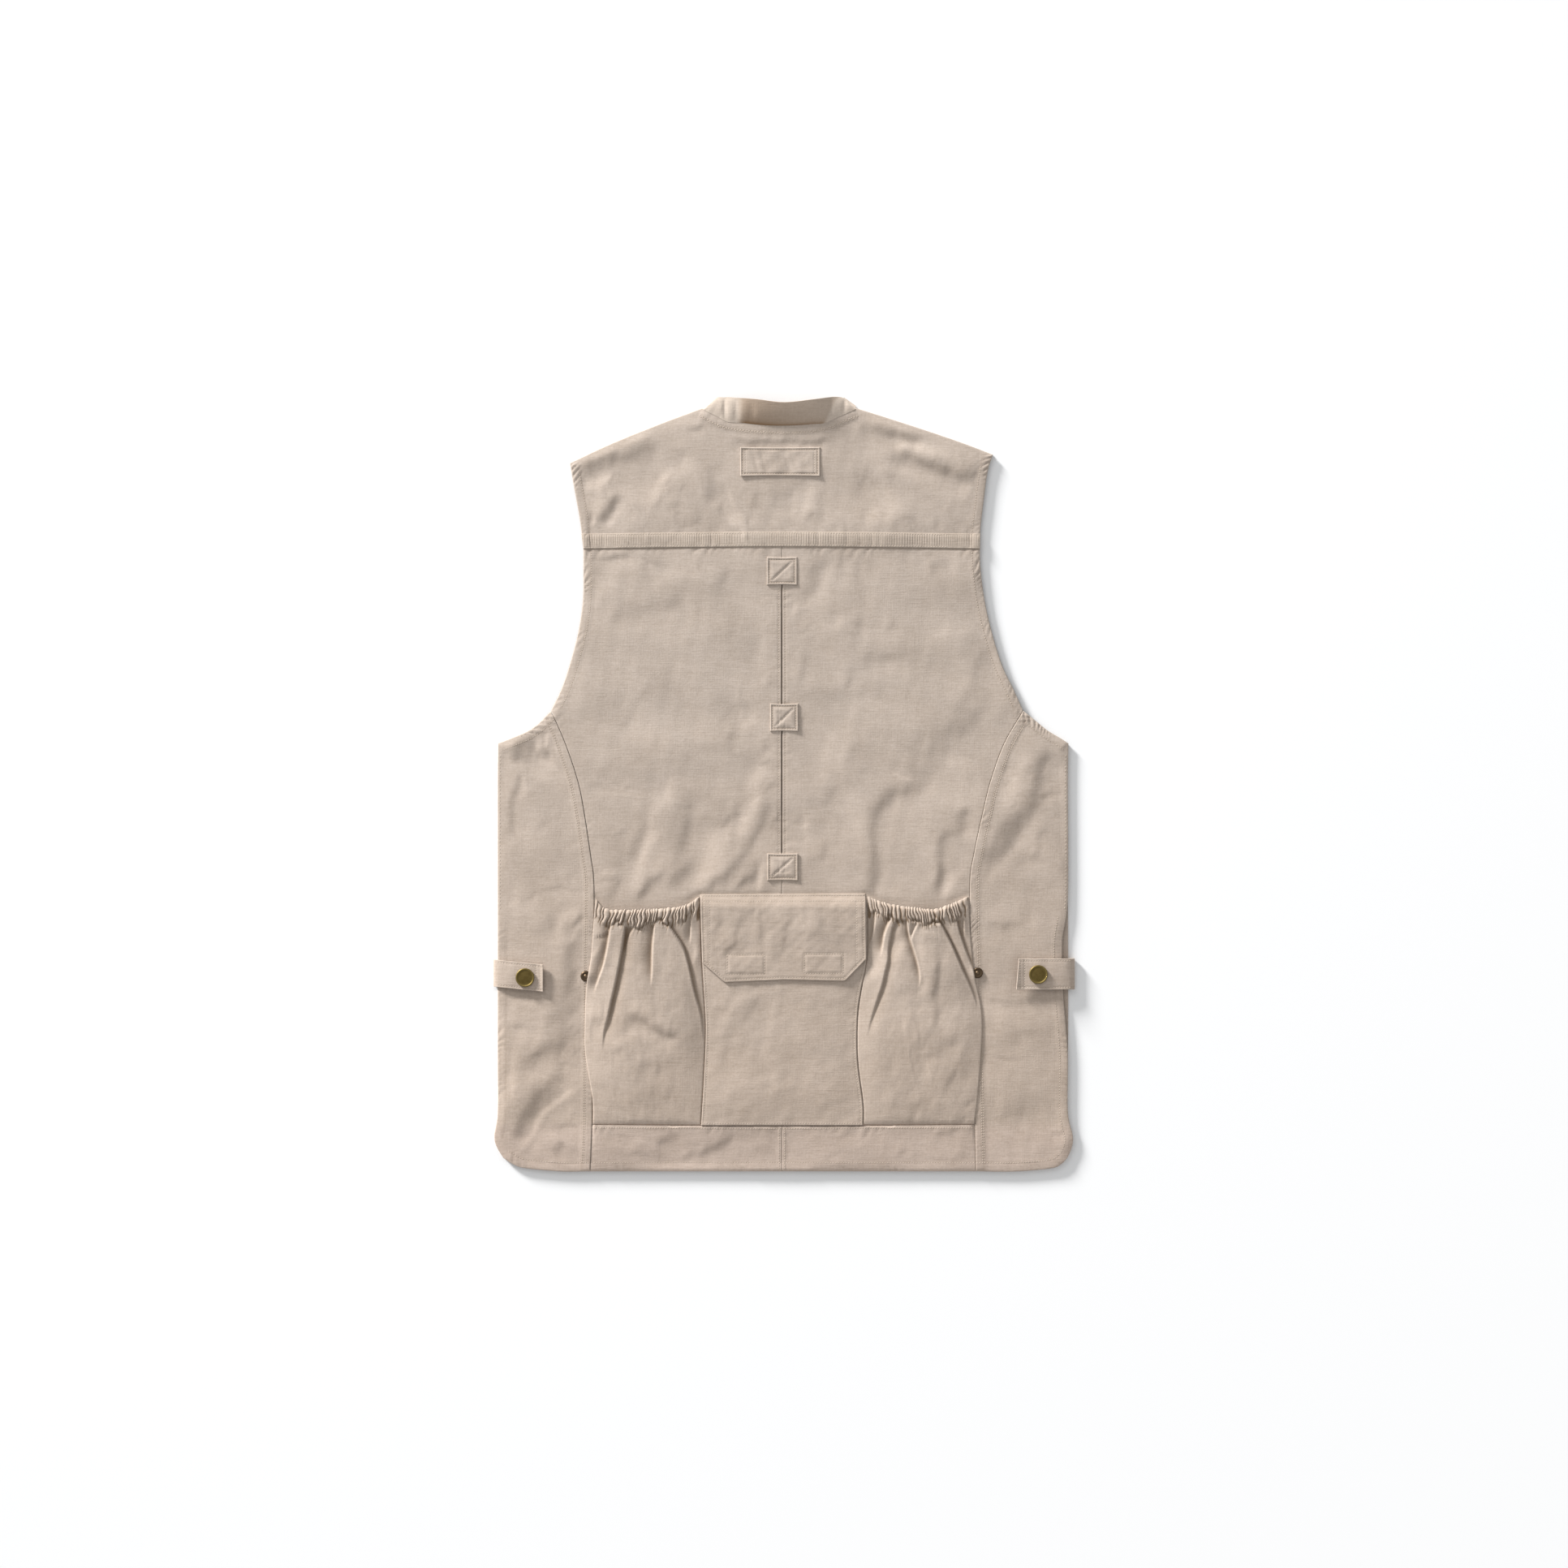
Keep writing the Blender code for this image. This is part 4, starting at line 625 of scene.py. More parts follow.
def seamHeight(x, y, seam):
    seam = plainSeam | seam
    height, shade = np.zeros(x.shape), np.zeros(x.shape)
    line = seam["line"]
    here = inReach(x, y, line, 34)
    if not here.any():
        return height, shade
    gap, along, side = nearest(x[here], y[here], line)
    on = np.ones(gap.shape) if seam["side"] == 0 else (side == seam["side"]).astype(float)
    length = walked(line)[-1]
    on *= ease((along + 0.01) / seam["ends"]) * ease((length - along + 0.01) / seam["ends"])
    rise = seam["lift"] * (1 - ease((gap - seam["band"]) / 1.6))
    rise = rise + seam["heap"] * np.exp(-gap / 11)
    # the puckers: their places wander, and their reach and height change along the line
    phase = along + seam["slant"] * gap + 3.2 * np.sin(along / 11.3) + 1.7 * np.sin(along / 5.1 + 1)
    reach = seam["reach"] * (0.75 + 0.25 * np.sin(along / 14 + 2) + 0.2 * np.sin(along / 5.7))
    window = ease(gap / 1.5) * (1 - ease((gap - 0.3 * reach) / (0.7 * reach)))
    strength = np.clip(0.65 + 0.6 * np.sin(along / 21 + 2) + 0.55 * np.sin(along / 8.3), 0.0, 2)
    lobe = np.abs(np.sin(math.pi * phase / seam["pitch"])) ** 0.7  # round lobes with a crease between
    rise = rise + 2 * seam["pucker"] * strength * (lobe - 0.7) * window
    # painted shade in the creases between the puckers
    shade[here] += 0.5 * seam["pucker"] * strength * (1 - lobe) ** 2 * window * on
    if seam["gap"]:  # painted shadow of the collar's edge on the yoke; it shows only between the collar's two wings
        fromLeft, toRight = ease((x[here] + 56) / 12), ease((x[here] - 38) / 10)
        shade[here] += seam["gap"] * bell(gap, 1.0) * fromLeft * (1 - toRight)
    for row in seam["rows"]:
        sunk = bell(gap - row, 0.8)
        rise = rise - 0.22 * sunk
        # painted shade in the grooves of the stitched rows
        shade[here] += 0.17 * sunk * on
    height[here] = rise * on
    return height, shade


def bodyTop(x, y, sewn=True):
    # Height and shade of the back's upper face, with its sewn lines or without them.
    inward = nearest(x, y, outline)[0]
    height = lay["edge"] + lay["roll"][0] * (1 - np.exp(-inward / lay["roll"][1]))
    height += lay["swell"][0] * (1 - np.exp(-inward / lay["swell"][1]))
    folds, shade = foldHeight(x, y, bodyFolds)
    folds += ripples(x, y, 11, 14, 45, 120, 0.34) + ripples(x, y, 12, 16, 14, 34, 0.045)
    for line, depth, width, dark in dips:
        gap = nearest(x, y, line)[0]
        folds -= depth * bell(gap, width)
        # painted shade along the dips
        shade += dark * bell(gap, 0.86 * width)
    height += folds * ease(inward / 9)
    lowest = np.where(np.abs(x - centreX) < lay["lapReach"], lay["overLap"], lay["lowest"])
    x0, y0, x1, y1 = lay["underlayBox"]
    lowest = np.where((x > x0) & (x < x1) & (y > y0) & (y < y1), lay["overUnderlay"], lowest)
    height = np.maximum(height, np.minimum(lowest, lay["edge"] + 0.5 * inward))
    for seam in seams if sewn else []:
        rise, dark = seamHeight(x, y, seam)
        height += rise
        shade += dark
    return height, shade


# materials


def linear(hexColour):
    channels = [int(hexColour[i : i + 2], 16) / 255 for i in (1, 3, 5)]
    return tuple(c / 12.92 if c <= 0.04045 else ((c + 0.055) / 1.055) ** 2.4 for c in channels) + (1.0,)


def addNode(tree, kind, inputs=(), **settings):
    node = tree.nodes.new("ShaderNode" + kind)
    for key, value in settings.items():
        setattr(node, key, value)
    for key, value in dict(inputs).items():
        if isinstance(value, bpy.types.NodeSocket):
            tree.links.new(value, node.inputs[key])
        else:
            node.inputs[key].default_value = value
    return node


def mixed(tree, share, first, second, blend="MIX"):
    inputs = {0: share, 6: first, 7: second}
    return addNode(tree, "Mix", inputs, data_type="RGBA", clamp_factor=True, blend_type=blend).outputs[2]


def maths(tree, operation, *values):
    return addNode(tree, "Math", dict(enumerate(values)), operation=operation).outputs[0]


def ranged(tree, value, *limits):
    # A value carried from one range to another: from, to, new from, new to.
    return addNode(tree, "MapRange", {0: value} | dict(enumerate(limits, 1))).outputs[0]


def attribute(tree, name):
    return addNode(tree, "Attribute", attribute_name=name).outputs["Fac"]


def bumped(tree, shader, strength, distance, height):
    bump = addNode(tree, "Bump", {"Strength": strength, "Distance": distance, "Height": height})
    tree.links.new(bump.outputs[0], shader.inputs["Normal"])


def newMaterial(name, roughness, metallic=0.0):
    material = bpy.data.materials.new(name)
    material.use_nodes = True
    shader = material.node_tree.nodes["Principled BSDF"]
    shader.inputs["Roughness"].default_value = roughness
    shader.inputs["Metallic"].default_value = metallic
    return material, material.node_tree, shader


cotton = {  # sizes in metres, heights in y from the middle of the vest
    "noises": {
        "weft": (0.014, 0.0012, 0.02),  # slubs, 14 mm long and about two threads high
        "warp": (0.0012, 0.012, 0.02),
        "mottle": (0.05, 0.035, 0.05),  # uneven dye
        "grain": (0.0022, 0.0018, 0.002),  # thread ends, drawn at 2 mm where the real ones are 0.6
    },
    "toneShares": {"weft": 0.75, "warp": 0.4, "mottle": 0.6, "grain": 0.8},
    "roughShares": {"weft": 1.35, "warp": 1.0, "grain": 1.4},
    "thread": 0.0017,  # three times coarser than real, so that it shows
    "warmer": (0.08, -0.3, (0.985, 0.952, 0.922, 1)),  # darker and warmer towards the hem
    "paler": (-0.322, -0.334, (1.075, 1.065, 1.085, 1)),  # painted light: the hem bands a little paler, to undo the shade of their slope away from the light
    "rubbed": "#E0D5C8",
    "rubbing": 0.05,
}


def canvasMaterial(name, light, dark, deep):
    # Plain-weave cotton canvas, washed: matt, with slubs along the weft and a soft nap. Its deep colour
    # is painted shade, laid on where the shade attribute says.
    material, tree, shader = newMaterial(name, 0.92)
    shader.inputs["Specular IOR Level"].default_value = 0.25
    shader.inputs["Sheen Weight"].default_value = 0.12
    shader.inputs["Sheen Roughness"].default_value = 0.5
    place = addNode(tree, "TexCoord").outputs["Object"]
    noise = {}
    for kind, size in cotton["noises"].items():
        moved = addNode(tree, "Mapping", {"Vector": place, "Scale": tuple(1 / s for s in size)}).outputs[0]
        inputs = {"Vector": moved, "Scale": 1.0, "Detail": 2.0, "Roughness": 0.55}
        noise[kind] = addNode(tree, "TexNoise", inputs).outputs[0]
    tone = 0.5
    for kind, share in cotton["toneShares"].items():
        tone = maths(tree, "MULTIPLY_ADD", maths(tree, "SUBTRACT", noise[kind], 0.5), share, tone)
    cloth = mixed(tree, tone, linear(dark), linear(light))
    height = addNode(tree, "SeparateXYZ", {0: place}).outputs["Y"]
    for start, end, tint in (cotton["warmer"], cotton["paler"]):
        cloth = mixed(tree, ranged(tree, height, start, end, 0.0, 1.0), cloth, tint, "MULTIPLY")
    # painted shade: the shade attribute darkens the cloth towards the deep colour in creases, hollows,
    # grooves and where one part shades another
    clothWithPaintedShade = mixed(tree, attribute(tree, "shade"), cloth, linear(deep))
    wear = maths(tree, "MULTIPLY", attribute(tree, "wear"), cotton["rubbing"])  # edges rub pale
    tree.links.new(mixed(tree, wear, clothWithPaintedShade, linear(cotton["rubbed"])), shader.inputs["Base Color"])
    waves = []
    for direction in ("X", "Y"):
        inputs = {"Vector": place, "Scale": 0.314 / cotton["thread"], "Distortion": 3.5, "Detail": 2.0,
                  "Detail Scale": 0.8}
        waves.append(addNode(tree, "TexWave", inputs, bands_direction=direction).outputs[1])
    rough = maths(tree, "MULTIPLY_ADD", maths(tree, "MULTIPLY", *waves), 0.5, 0.0)
    for kind, share in cotton["roughShares"].items():
        rough = maths(tree, "MULTIPLY_ADD", noise[kind], share, rough)
    bumped(tree, shader, 0.42, 0.00014, rough)
    return material


def threadMaterial():
    # Polyester sewing thread: a little paler and shinier than the cloth.
    material, tree, shader = newMaterial("sewing_thread", 0.6)
    place = addNode(tree, "TexCoord").outputs["Object"]
    noise = addNode(tree, "TexNoise", {"Vector": place, "Scale": 400.0}).outputs[0]
    tree.links.new(mixed(tree, noise, linear("#B0A191"), linear("#C5B7A8")), shader.inputs["Base Color"])
    return material


def brassMaterial(name, pale, dull, roughness):
    # Antiqued brass: brown patina in the hollows, rubbed bright on the rim.
    material, tree, shader = newMaterial(name, roughness, 1.0)
    place = addNode(tree, "TexCoord").outputs["Object"]
    noise = addNode(tree, "TexNoise", {"Vector": place, "Scale": 330.0, "Detail": 3.0}).outputs[0]
    share = maths(tree, "MULTIPLY_ADD", noise, 0.5, attribute(tree, "wear"))
    tree.links.new(mixed(tree, share, linear(dull), linear(pale)), shader.inputs["Base Color"])
    rough = ranged(tree, noise, 0.0, 1.0, roughness - 0.08, roughness + 0.14)
    tree.links.new(rough, shader.inputs["Roughness"])
    bumped(tree, shader, 0.3, 0.00008, noise)
    return material


canvas = canvasMaterial("washed_cotton_canvas", "#C6B8AC", "#A8998B", "#75614D")
tapeCanvas = canvasMaterial("ribbed_cotton_tape", "#C6B8AB", "#A79889", "#75614D")
# painted light and shade: a paler copy of the canvas for the collar, whose deep colour paints the shade of
# its centre, which stands away from the light
collarCanvas = canvasMaterial("collar_canvas_painted_light_and_shade", "#D6C7B8", "#BAAB9D", "#805D35")
thread = threadMaterial()
capBrass = brassMaterial("antiqued_brass", "#907F50", "#594824", 0.46)
studBrass = brassMaterial("dark_bronzed_brass", "#8A7660", "#33261B", 0.38)


# making a piece of cloth


def meshOf(name, bm):
    mesh = bpy.data.meshes.new(name)
    bm.to_mesh(mesh)
    bm.free()
    return mesh


def linked(name, data):
    obj = bpy.data.objects.new(name, data)
    bpy.context.scene.collection.objects.link(obj)
    return obj


def gridOn(points):
    # A grid whose corners are moved to an array of points.
    across, along = points.shape[0] - 1, points.shape[1] - 1
    bm = bmesh.new()
    bmesh.ops.create_grid(bm, x_segments=across, y_segments=along, size=1)
    mesh = meshOf("grid", bm)
    flat = np.empty(len(mesh.vertices) * 3, np.float32)
    mesh.vertices.foreach_get("co", flat)
    flat = flat.reshape(-1, 3)
    i = np.rint((flat[:, 0] + 1) / 2 * across).astype(int)
    j = np.rint((flat[:, 1] + 1) / 2 * along).astype(int)
    mesh.vertices.foreach_set("co", (points[i, j] * mm).astype(np.float32).ravel())
    return mesh, i, j


def borderDistance(points):
    fromEdges = []
    for rows in (points, np.moveaxis(points, 1, 0)):
        steps = np.linalg.norm(np.diff(rows, axis=0), axis=2)
        way = np.concatenate([np.zeros((1, rows.shape[1])), np.cumsum(steps, axis=0)])
        fromEdges.append(np.minimum(way, way[-1:] - way))
    return np.minimum(fromEdges[0], fromEdges[1].T)


def paint(mesh, i, j, shade, border):
    # What the materials read: the painted shade of folds, creases and hollows, and how worn an edge.
    shade = np.clip(shade, 0, 1) + 0 * border
    for name, values in (("shade", shade), ("wear", bell(border, 1.1))):
        mesh.attributes.new(name, "FLOAT", "POINT").data.foreach_set("value", values[i, j].astype(np.float32))


def register(obj, node):
    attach(obj, "root")
    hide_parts(node)
    surfaces[obj.name] = BVHTree.FromObject(obj, bpy.context.evaluated_depsgraph_get())


def clothPiece(node, plan, top, look, wall=1.2, shade=0.0, rounding=(0.3, 0.7), fromBelow=False):
    # A layer of cloth over plan points, from the height of its upper face, or of its lower face.
    # The rounding is the depth and width of its turned edge.
    border = borderDistance(plan)
    depth, width = rounding
    near = np.clip(border / width, 0, 1)
    turned = depth * (1 - np.sqrt(1 - (1 - near) ** 2))
    top = top + turned if fromBelow else top - turned
    mesh, i, j = gridOn(np.concatenate([plan, top[..., None]], axis=-1))
    paint(mesh, i, j, shade, border)
    bm = bmesh.new()
    bm.from_mesh(mesh)
    raised = bmesh.ops.extrude_face_region(bm, geom=bm.faces[:])
    other = [item for item in raised["geom"] if isinstance(item, bmesh.types.BMVert)]
    bmesh.ops.translate(bm, vec=Vector((0, 0, wall * mm if fromBelow else -wall * mm)), verts=other)
    bmesh.ops.recalc_face_normals(bm, faces=bm.faces[:])
    bm.to_mesh(mesh)
    bm.free()
    mesh.shade_smooth()
    mesh.set_sharp_from_angle(angle=math.radians(62))
    mesh.materials.append(look)
    mesh.name = node + "_cloth"
    register(linked(node + "_cloth", mesh), node)


def bandPiece(node, points, wall, look, shade, bevel):
    # A strip of cloth in space, on its middle surface, with rounded edges.
    mesh, i, j = gridOn(points)
    paint(mesh, i, j, shade, borderDistance(points))
    mesh.shade_smooth()
    mesh.materials.append(look)
    mesh.name = node + "_cloth"
    obj = linked(node + "_cloth", mesh)
    walls = obj.modifiers.new("wall", "SOLIDIFY")
    walls.thickness = wall * mm
    walls.offset = 0
    edges = obj.modifiers.new("edges", "BEVEL")
    edges.width = bevel * mm
    edges.segments = 2
    edges.limit_method = "ANGLE"
    edges.angle_limit = math.radians(60)
    register(obj, node)


def topOf(names, x, y, up=True):
    # The highest surface over a place, or the lowest one as seen from below.
    start = Vector((x, y, 90 if up else -90)) * mm
    hits = [surfaces[name].ray_cast(start, Vector((0, 0, -1 if up else 1)))[0] for name in names]
    heights = [hit.z / mm for hit in hits if hit is not None]
    return (max(heights) if up else min(heights)) if heights else None


# the gap at each end of a stitch is a share of the pitch
stitch = {"radius": 0.3, "height": 0.15, "pitch": 2.5, "gap": 0.15, "steepest": 1.5}


def sew(node, rows, up=True):
    # Rows of stitches on a piece: each stitch is a small bead of thread that follows the cloth.
    # A row is a line, or a line and the pitch of its stitches.
    names = [node + "_cloth"]
    sewn = bmesh.new()
    for row in rows:
        line, pitch = row if isinstance(row, tuple) else (row, stitch["pitch"])
        line = np.asarray(line, float)
        points = spread(line, max(1, round(walked(line)[-1] / pitch)))
        beads = bmesh.new()
        for a, b in zip(points, points[1:]):
            a, b = a + (b - a) * stitch["gap"], a + (b - a) * (1 - stitch["gap"])
            low, high = topOf(names, *a, up), topOf(names, *b, up)
            if low is None or high is None or abs(low - high) > stitch["steepest"]:
                continue
            start, end = Vector((*a, low)), Vector((*b, high))
            along = end - start
            side = Vector((0, 0, 1)).cross(along).normalized()
            normal = along.normalized().cross(side)
            middle = (start + end) / 2 + normal * stitch["height"] * (0.25 if up else -0.25)
            turn = Matrix((along.normalized(), side, normal)).transposed().to_4x4()
            size = Matrix.Diagonal((along.length * 0.5, stitch["radius"], stitch["height"], 1))
            placed = Matrix.Scale(mm, 4) @ (Matrix.Translation(middle) @ turn @ size)
            bmesh.ops.create_icosphere(beads, subdivisions=1, radius=1, matrix=placed)
        part = meshOf("row", beads)
        sewn.from_mesh(part)
        bpy.data.meshes.remove(part)
    mesh = meshOf(node + "_stitching", sewn)
    mesh.shade_smooth()
    mesh.materials.append(thread)
    obj = linked(node + "_stitching", mesh)
    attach(obj, "root")


# the fronts, plain, which lie on the floor

fronts = {
    "lap": 12.0,  # each front passes the centre by this
    "lapLift": 1.55,
    "lapRamp": 9.0,
    "armholeInset": 11.0,
    "neckFoot": 271.0,
    "columns": 56,
    "step": 4.6,
    "creases": 0.5,
    "groove": {"from": 8.5, "depth": 0.62, "width": 1.2},  # the stitched line inside the edge
    "pitch": 3.4,
}


def frontPlan(side):
    sign = -1 if side == "Left" else 1
    arm = joined(lines["underarm" + side][::-1], lines["armhole" + side][::-1], lines["yokeEnd" + side])
    arm = spread(arm, 60)
    arm[:, 0] -= sign * fronts["armholeInset"] * np.sin(np.pi * np.linspace(0, 1, 61))
    outer = joined(lines["frontSide" + side][::-1], arm)
    v = graded(walked(outer)[-1], fronts["step"])
    innerX = centreX - sign * fronts["lap"]
    corners = [(innerX, levelOf["hem"]), (innerX, fronts["neckFoot"])]
    neckline = lines["frontNeck" + side]
    neckline = np.vstack([neckline[np.abs(neckline[:, 0]) > 13], corners[1:]])
    shoulder = lines["shoulder" + side] if side == "Left" else lines["shoulder" + side][::-1]
    hem = np.vstack([lines["hem" + side], corners[:1]])
    half = fronts["columns"] // 2
    top = joined(spread(shoulder, half), spread(neckline, half))
    bottom = spread(hem, 2 * half)
    u = (walked(bottom) / walked(bottom)[-1] + walked(top) / walked(top)[-1]) / 2
    plan = patch(bottom, top, atShares(outer, v), atShares(np.array(corners), v), u, v)
    return drawnIn(plan if side == "Left" else plan[::-1])


for side in ("Left", "Right"):
    plan = frontPlan(side)
    x, y = plan[..., 0], plan[..., 1]
    border = borderDistance(plan)
    creases = np.maximum(ripples(x, y, 21 if side == "Left" else 22, 12, 60, 160, fronts["creases"]), 0)
    lower = creases * ease((border - 14) / 30) * ease((np.abs(x - centreX) - 42) / 30)
    fromEdge = border[:, plan.shape[1] // 2][: plan.shape[0] // 2]
    k = int(np.argmin(np.abs(fromEdge - fronts["groove"]["from"])))
    edge = plan[k] if side == "Left" else plan[-1 - k]
    groove = bell(nearest(x, y, edge)[0], fronts["groove"]["width"])
    lower += fronts["groove"]["depth"] * groove
    if side == "Right":
        lower += fronts["lapLift"] * (1 - ease((x - centreX - fronts["lap"] - 1) / fronts["lapRamp"]))
    name = "front_" + side.lower()
    # painted shade in the stitched groove inside the edge
    clothPiece(
        name, plan, lower, canvas,
        shade=0.1 * groove, rounding=(0.3, 0.9), fromBelow=True,
    )
    sew(name, [(edge[4:-4], fronts["pitch"])], up=False)
print("fronts laid")
backCloths = ["back_left_cloth", "back_right_cloth"]

# the pleat underlay behind the slit

underlay = {"low": (-34, -94), "high": (30, 224.5), "top": 4.2, "points": (25, 90)}
shares = [np.linspace(*ends) for ends in zip(underlay["low"], underlay["high"], underlay["points"])]
x, y = np.meshgrid(*shares, indexing="ij")
# painted shade: the underlay is seen only in the slit, so its whole face is darkened
clothPiece(
    "pleat_underlay", np.stack([x, y], axis=-1), underlay["top"] + ripples(x, y, 31, 6, 60, 120, 0.05),
    canvas, shade=0.35,
)

# the back: yoke, two backs, two hem bands and two side panels

grid = {"yoke": 1.88, "back": 1.82, "hidden": 5.6, "side": 1.78, "hem": 1.9}  # steps
across = {"yoke": 440, "back": 186, "hem": 184, "side": 90}
upward = {"yoke": 110, "side": 445}
bandRows = 26


def layPanel(node, plan):
    plan = drawnIn(plan)
    top, shade = bodyTop(plan[..., 0], plan[..., 1])
    clothPiece(node, plan, top, canvas, shade=shade)


top = joined(lines["shoulderLeft"], lines["neck"], lines["shoulderRight"])
u, v = graded(across["yoke"], grid["yoke"]), graded(upward["yoke"], grid["yoke"])
neckStart = walked(lines["shoulderLeft"])[-1]
for way in (neckStart, neckStart + walked(lines["neck"])[-1]):  # points on both ends of the neck
    u[np.argmin(np.abs(u - way / walked(top)[-1]))] = way / walked(top)[-1]
ends = [atShares(lines[name], v) for name in ("yokeEndLeft", "yokeEndRight")]
layPanel("yoke", coons(lines["yokeSeam"], top, *ends, u, v))
print("yoke laid")

mouth, armpit = levelOf["pouchMouth"], levelOf["armpit"]
seen = levelOf["yokeSeam"] - mouth
rise = graded(2 * seen, grid["back"])
rise = rise[len(rise) // 2 :] * 2 - 1
hidden = np.linspace(levelOf["hemSeam"], mouth, round((mouth - levelOf["hemSeam"]) / grid["hidden"]))
levels = np.concatenate([hidden, (mouth + seen * rise)[1:]])  # coarse under the pouches
bandLevels = np.linspace(levelOf["hem"], levelOf["hemSeam"], bandRows)
for side, sign in (("Left", -1), ("Right", 1)):
    longSeam = lines["long" + side]
    outer = np.where(
        levels[:, None] < armpit,
        atLevels(longSeam, np.minimum(levels, armpit)),
        atLevels(lines["armhole" + side], np.maximum(levels, armpit)),
    )
    outer[:, 1] = levels
    parted = (levels > levelOf["slitFoot"]) & (levels < levelOf["slitTop"])
    centre = np.stack([centreX + sign * np.where(parted, 0.5, 0.0), levels], axis=1)
    centre[0, 1], centre[-1, 1] = levelOf["hemSeamMiddle"], levelOf["yokeSeamMiddle"]
    u, v = graded(across["back"], grid["back"]), (levels - levels[0]) / (levels[-1] - levels[0])
    borders = (outer, centre) if side == "Left" else (centre, outer)
    layPanel("back_" + side.lower(), strip(*borders, u, v))

    outer = atLevels(longSeam, bandLevels)
    centre = np.stack([np.full(bandRows, centreX), bandLevels], axis=1)
    centre[-1, 1] = levelOf["hemSeamMiddle"]
    borders = (outer, centre) if side == "Left" else (centre, outer)
    plan = strip(*borders, graded(across["hem"], grid["hem"]), np.linspace(0, 1, bandRows))
    layPanel("hem_" + side.lower(), plan)

    u, v = graded(across["side"], grid["side"]), graded(upward["side"], grid["side"])
    inner, outer = atShares(longSeam[::-1], v), atShares(lines["side" + side][::-1], v)
    hem, underarm = lines["hem" + side], lines["underarm" + side]
    if side == "Left":
        plan = coons(hem, underarm[::-1], outer, inner, u, v)
    else:
        plan = coons(hem[::-1], underarm, inner, outer, u, v)
    layPanel("side_" + side.lower(), plan)
print("backs, hem bands and side panels laid")

# the collar, which stands at the back and lies down round the neck

collar = {
    "wall": 1.6,
    "ribs": [  # sewn edge x, y, z and free edge x, y, z: left front, back, right front
        (-4.2, 272, 0.85, -4.2, 297, 0.85), (-37, 283.6, 0.85, -27, 306, 0.85),
        (-60.5, 315.6, 0.85, -42, 328, 0.85), (-72.6, 345, 0.85, -57, 352, 0.85),
        (-77.2, 362.3, 0.9, -66.2, 370.3, 0.9), (-78, 363, 1.8, -66.8, 370.7, 2.2),
        (-75, 361.4, 2.9, -64.5, 371.7, 4.3), (-64, 356.0, 3.6, -57.5, 371.8, 5.6),
         (-53, 350.6, 3.9, -51, 371.8, 7.0),
        (-28, 346.3, 5.4, -27, 369.6, 12.6), (0, 345.1, 5.5, 0, 366.6, 14.2),
        (32, 347.4, 5.4, 28, 369.4, 13.4), (50, 354.6, 4.2, 46, 372, 7.6),
        (65.5, 361.6, 2.9, 54.5, 371.7, 4.3), (68.6, 363, 1.8, 56.9, 370.7, 2.2),
        (67.8, 362.3, 0.9, 56.4, 370.3, 0.9), (63.1, 345, 0.85, 47.5, 352, 0.85),
        (51.5, 315.6, 0.85, 33, 328, 0.85), (29, 283.6, 0.85, 19, 306, 0.85),
         (-1.8, 272, 0.85, -1.8, 297, 0.85),
    ],
    "lap": 2.6,  # round the back of the neck the sewn edge laps the yoke
    "belly": 0.8,
    # x, depth, width
    "folds": [(-57, 1.0, 2.2), (-46, 1.4, 2.0), (-31, 0.8, 3.0), (58, 0.7, 2.4), (44, 0.9, 2.5)],
    "lowest": 0.82,
}
ribs = smooth(collar["ribs"], 9)
sewnOn = ease((ribs[:, 2] - 0.9) / 1.2)
ribs[:, 1] -= collar["lap"] * sewnOn * ease((np.abs(ribs[:, 0] + 5) - 30) / 20)
ribs[:, 2] += sewnOn * (bodyTop(ribs[:, 0], ribs[:, 1] - 0.5)[0] - 0.6 - ribs[:, 2])
t = graded(24, 1.6)[None, :, None]
points = (1 - t) * ribs[:, None, :3] + t * ribs[:, None, 3:]
standing = ease((points[..., 2].max(axis=1) - 3) / 6)[:, None]
raised = ease((ribs[:, None, 5] - 2) / 2)
bulge = np.sin(np.pi * t[..., 0])
points[..., 2] += collar["belly"] * bulge * raised
points[..., 1] -= 0.8 * bulge * standing
for x, depth, width in collar["folds"]:
    points[..., 2] -= depth * bell(points[..., 0] - x, width) * bulge * raised
points[..., 2] = np.maximum(points[..., 2], collar["lowest"])
upward = t[..., 0] + 0 * points[..., 0]
x = points[..., 0]
# painted shade: the collar's centre stands away from the light and is darker, most of all along its sewn edge
dark = 0.46 - 0.24 * ease((x + 36) / 80) + 0.12 * (1 - upward) ** 3 + 0.5 * (1 - upward) ** 12
dark = dark * ease((x + 46) / 9) * (1 - ease((x - 36 - 13 * upward) / 5))  # the wings turn to the light
bandPiece(
    "collar", points, collar["wall"], collarCanvas,
    shade=dark, bevel=0.5,
)
print("collar made")

# the tape over the yoke seam

tape = {
    "width": 14.4, "raise": 0.8, "wall": 0.8, "ribPitch": 2.3, "ribHeight": 0.07, "rows": (1.5, 13.1),
    "belowSeam": 0.6, "ends": (-192.9, 188.4),
}
low = atShares(lines["yokeSeam"], np.linspace(0, 1, 951)) - (0, tape["belowSeam"])
v = np.concatenate([[0, 0.03, 0.07, 0.12], np.linspace(0.2, 0.84, 5), [0.9, 0.95, 0.98, 1]])
plan = np.stack([low + (0, tape["width"] * share) for share in v], axis=1)
x, y = plan[..., 0], plan[..., 1]
lean = (y - levelOf["yokeSeam"]) * np.where(x < 0, -0.12, 0.02) * np.abs(x / 190) ** 8  # at its ends
plan[..., 0] = np.clip(x, *tape["ends"]) + lean
above = y - low[:, None, 1]
ribbed = ease((above - 1.8) / 2) * (1 - ease((above - 12.6) / 1.2))
under, shade = bodyTop(x, y)
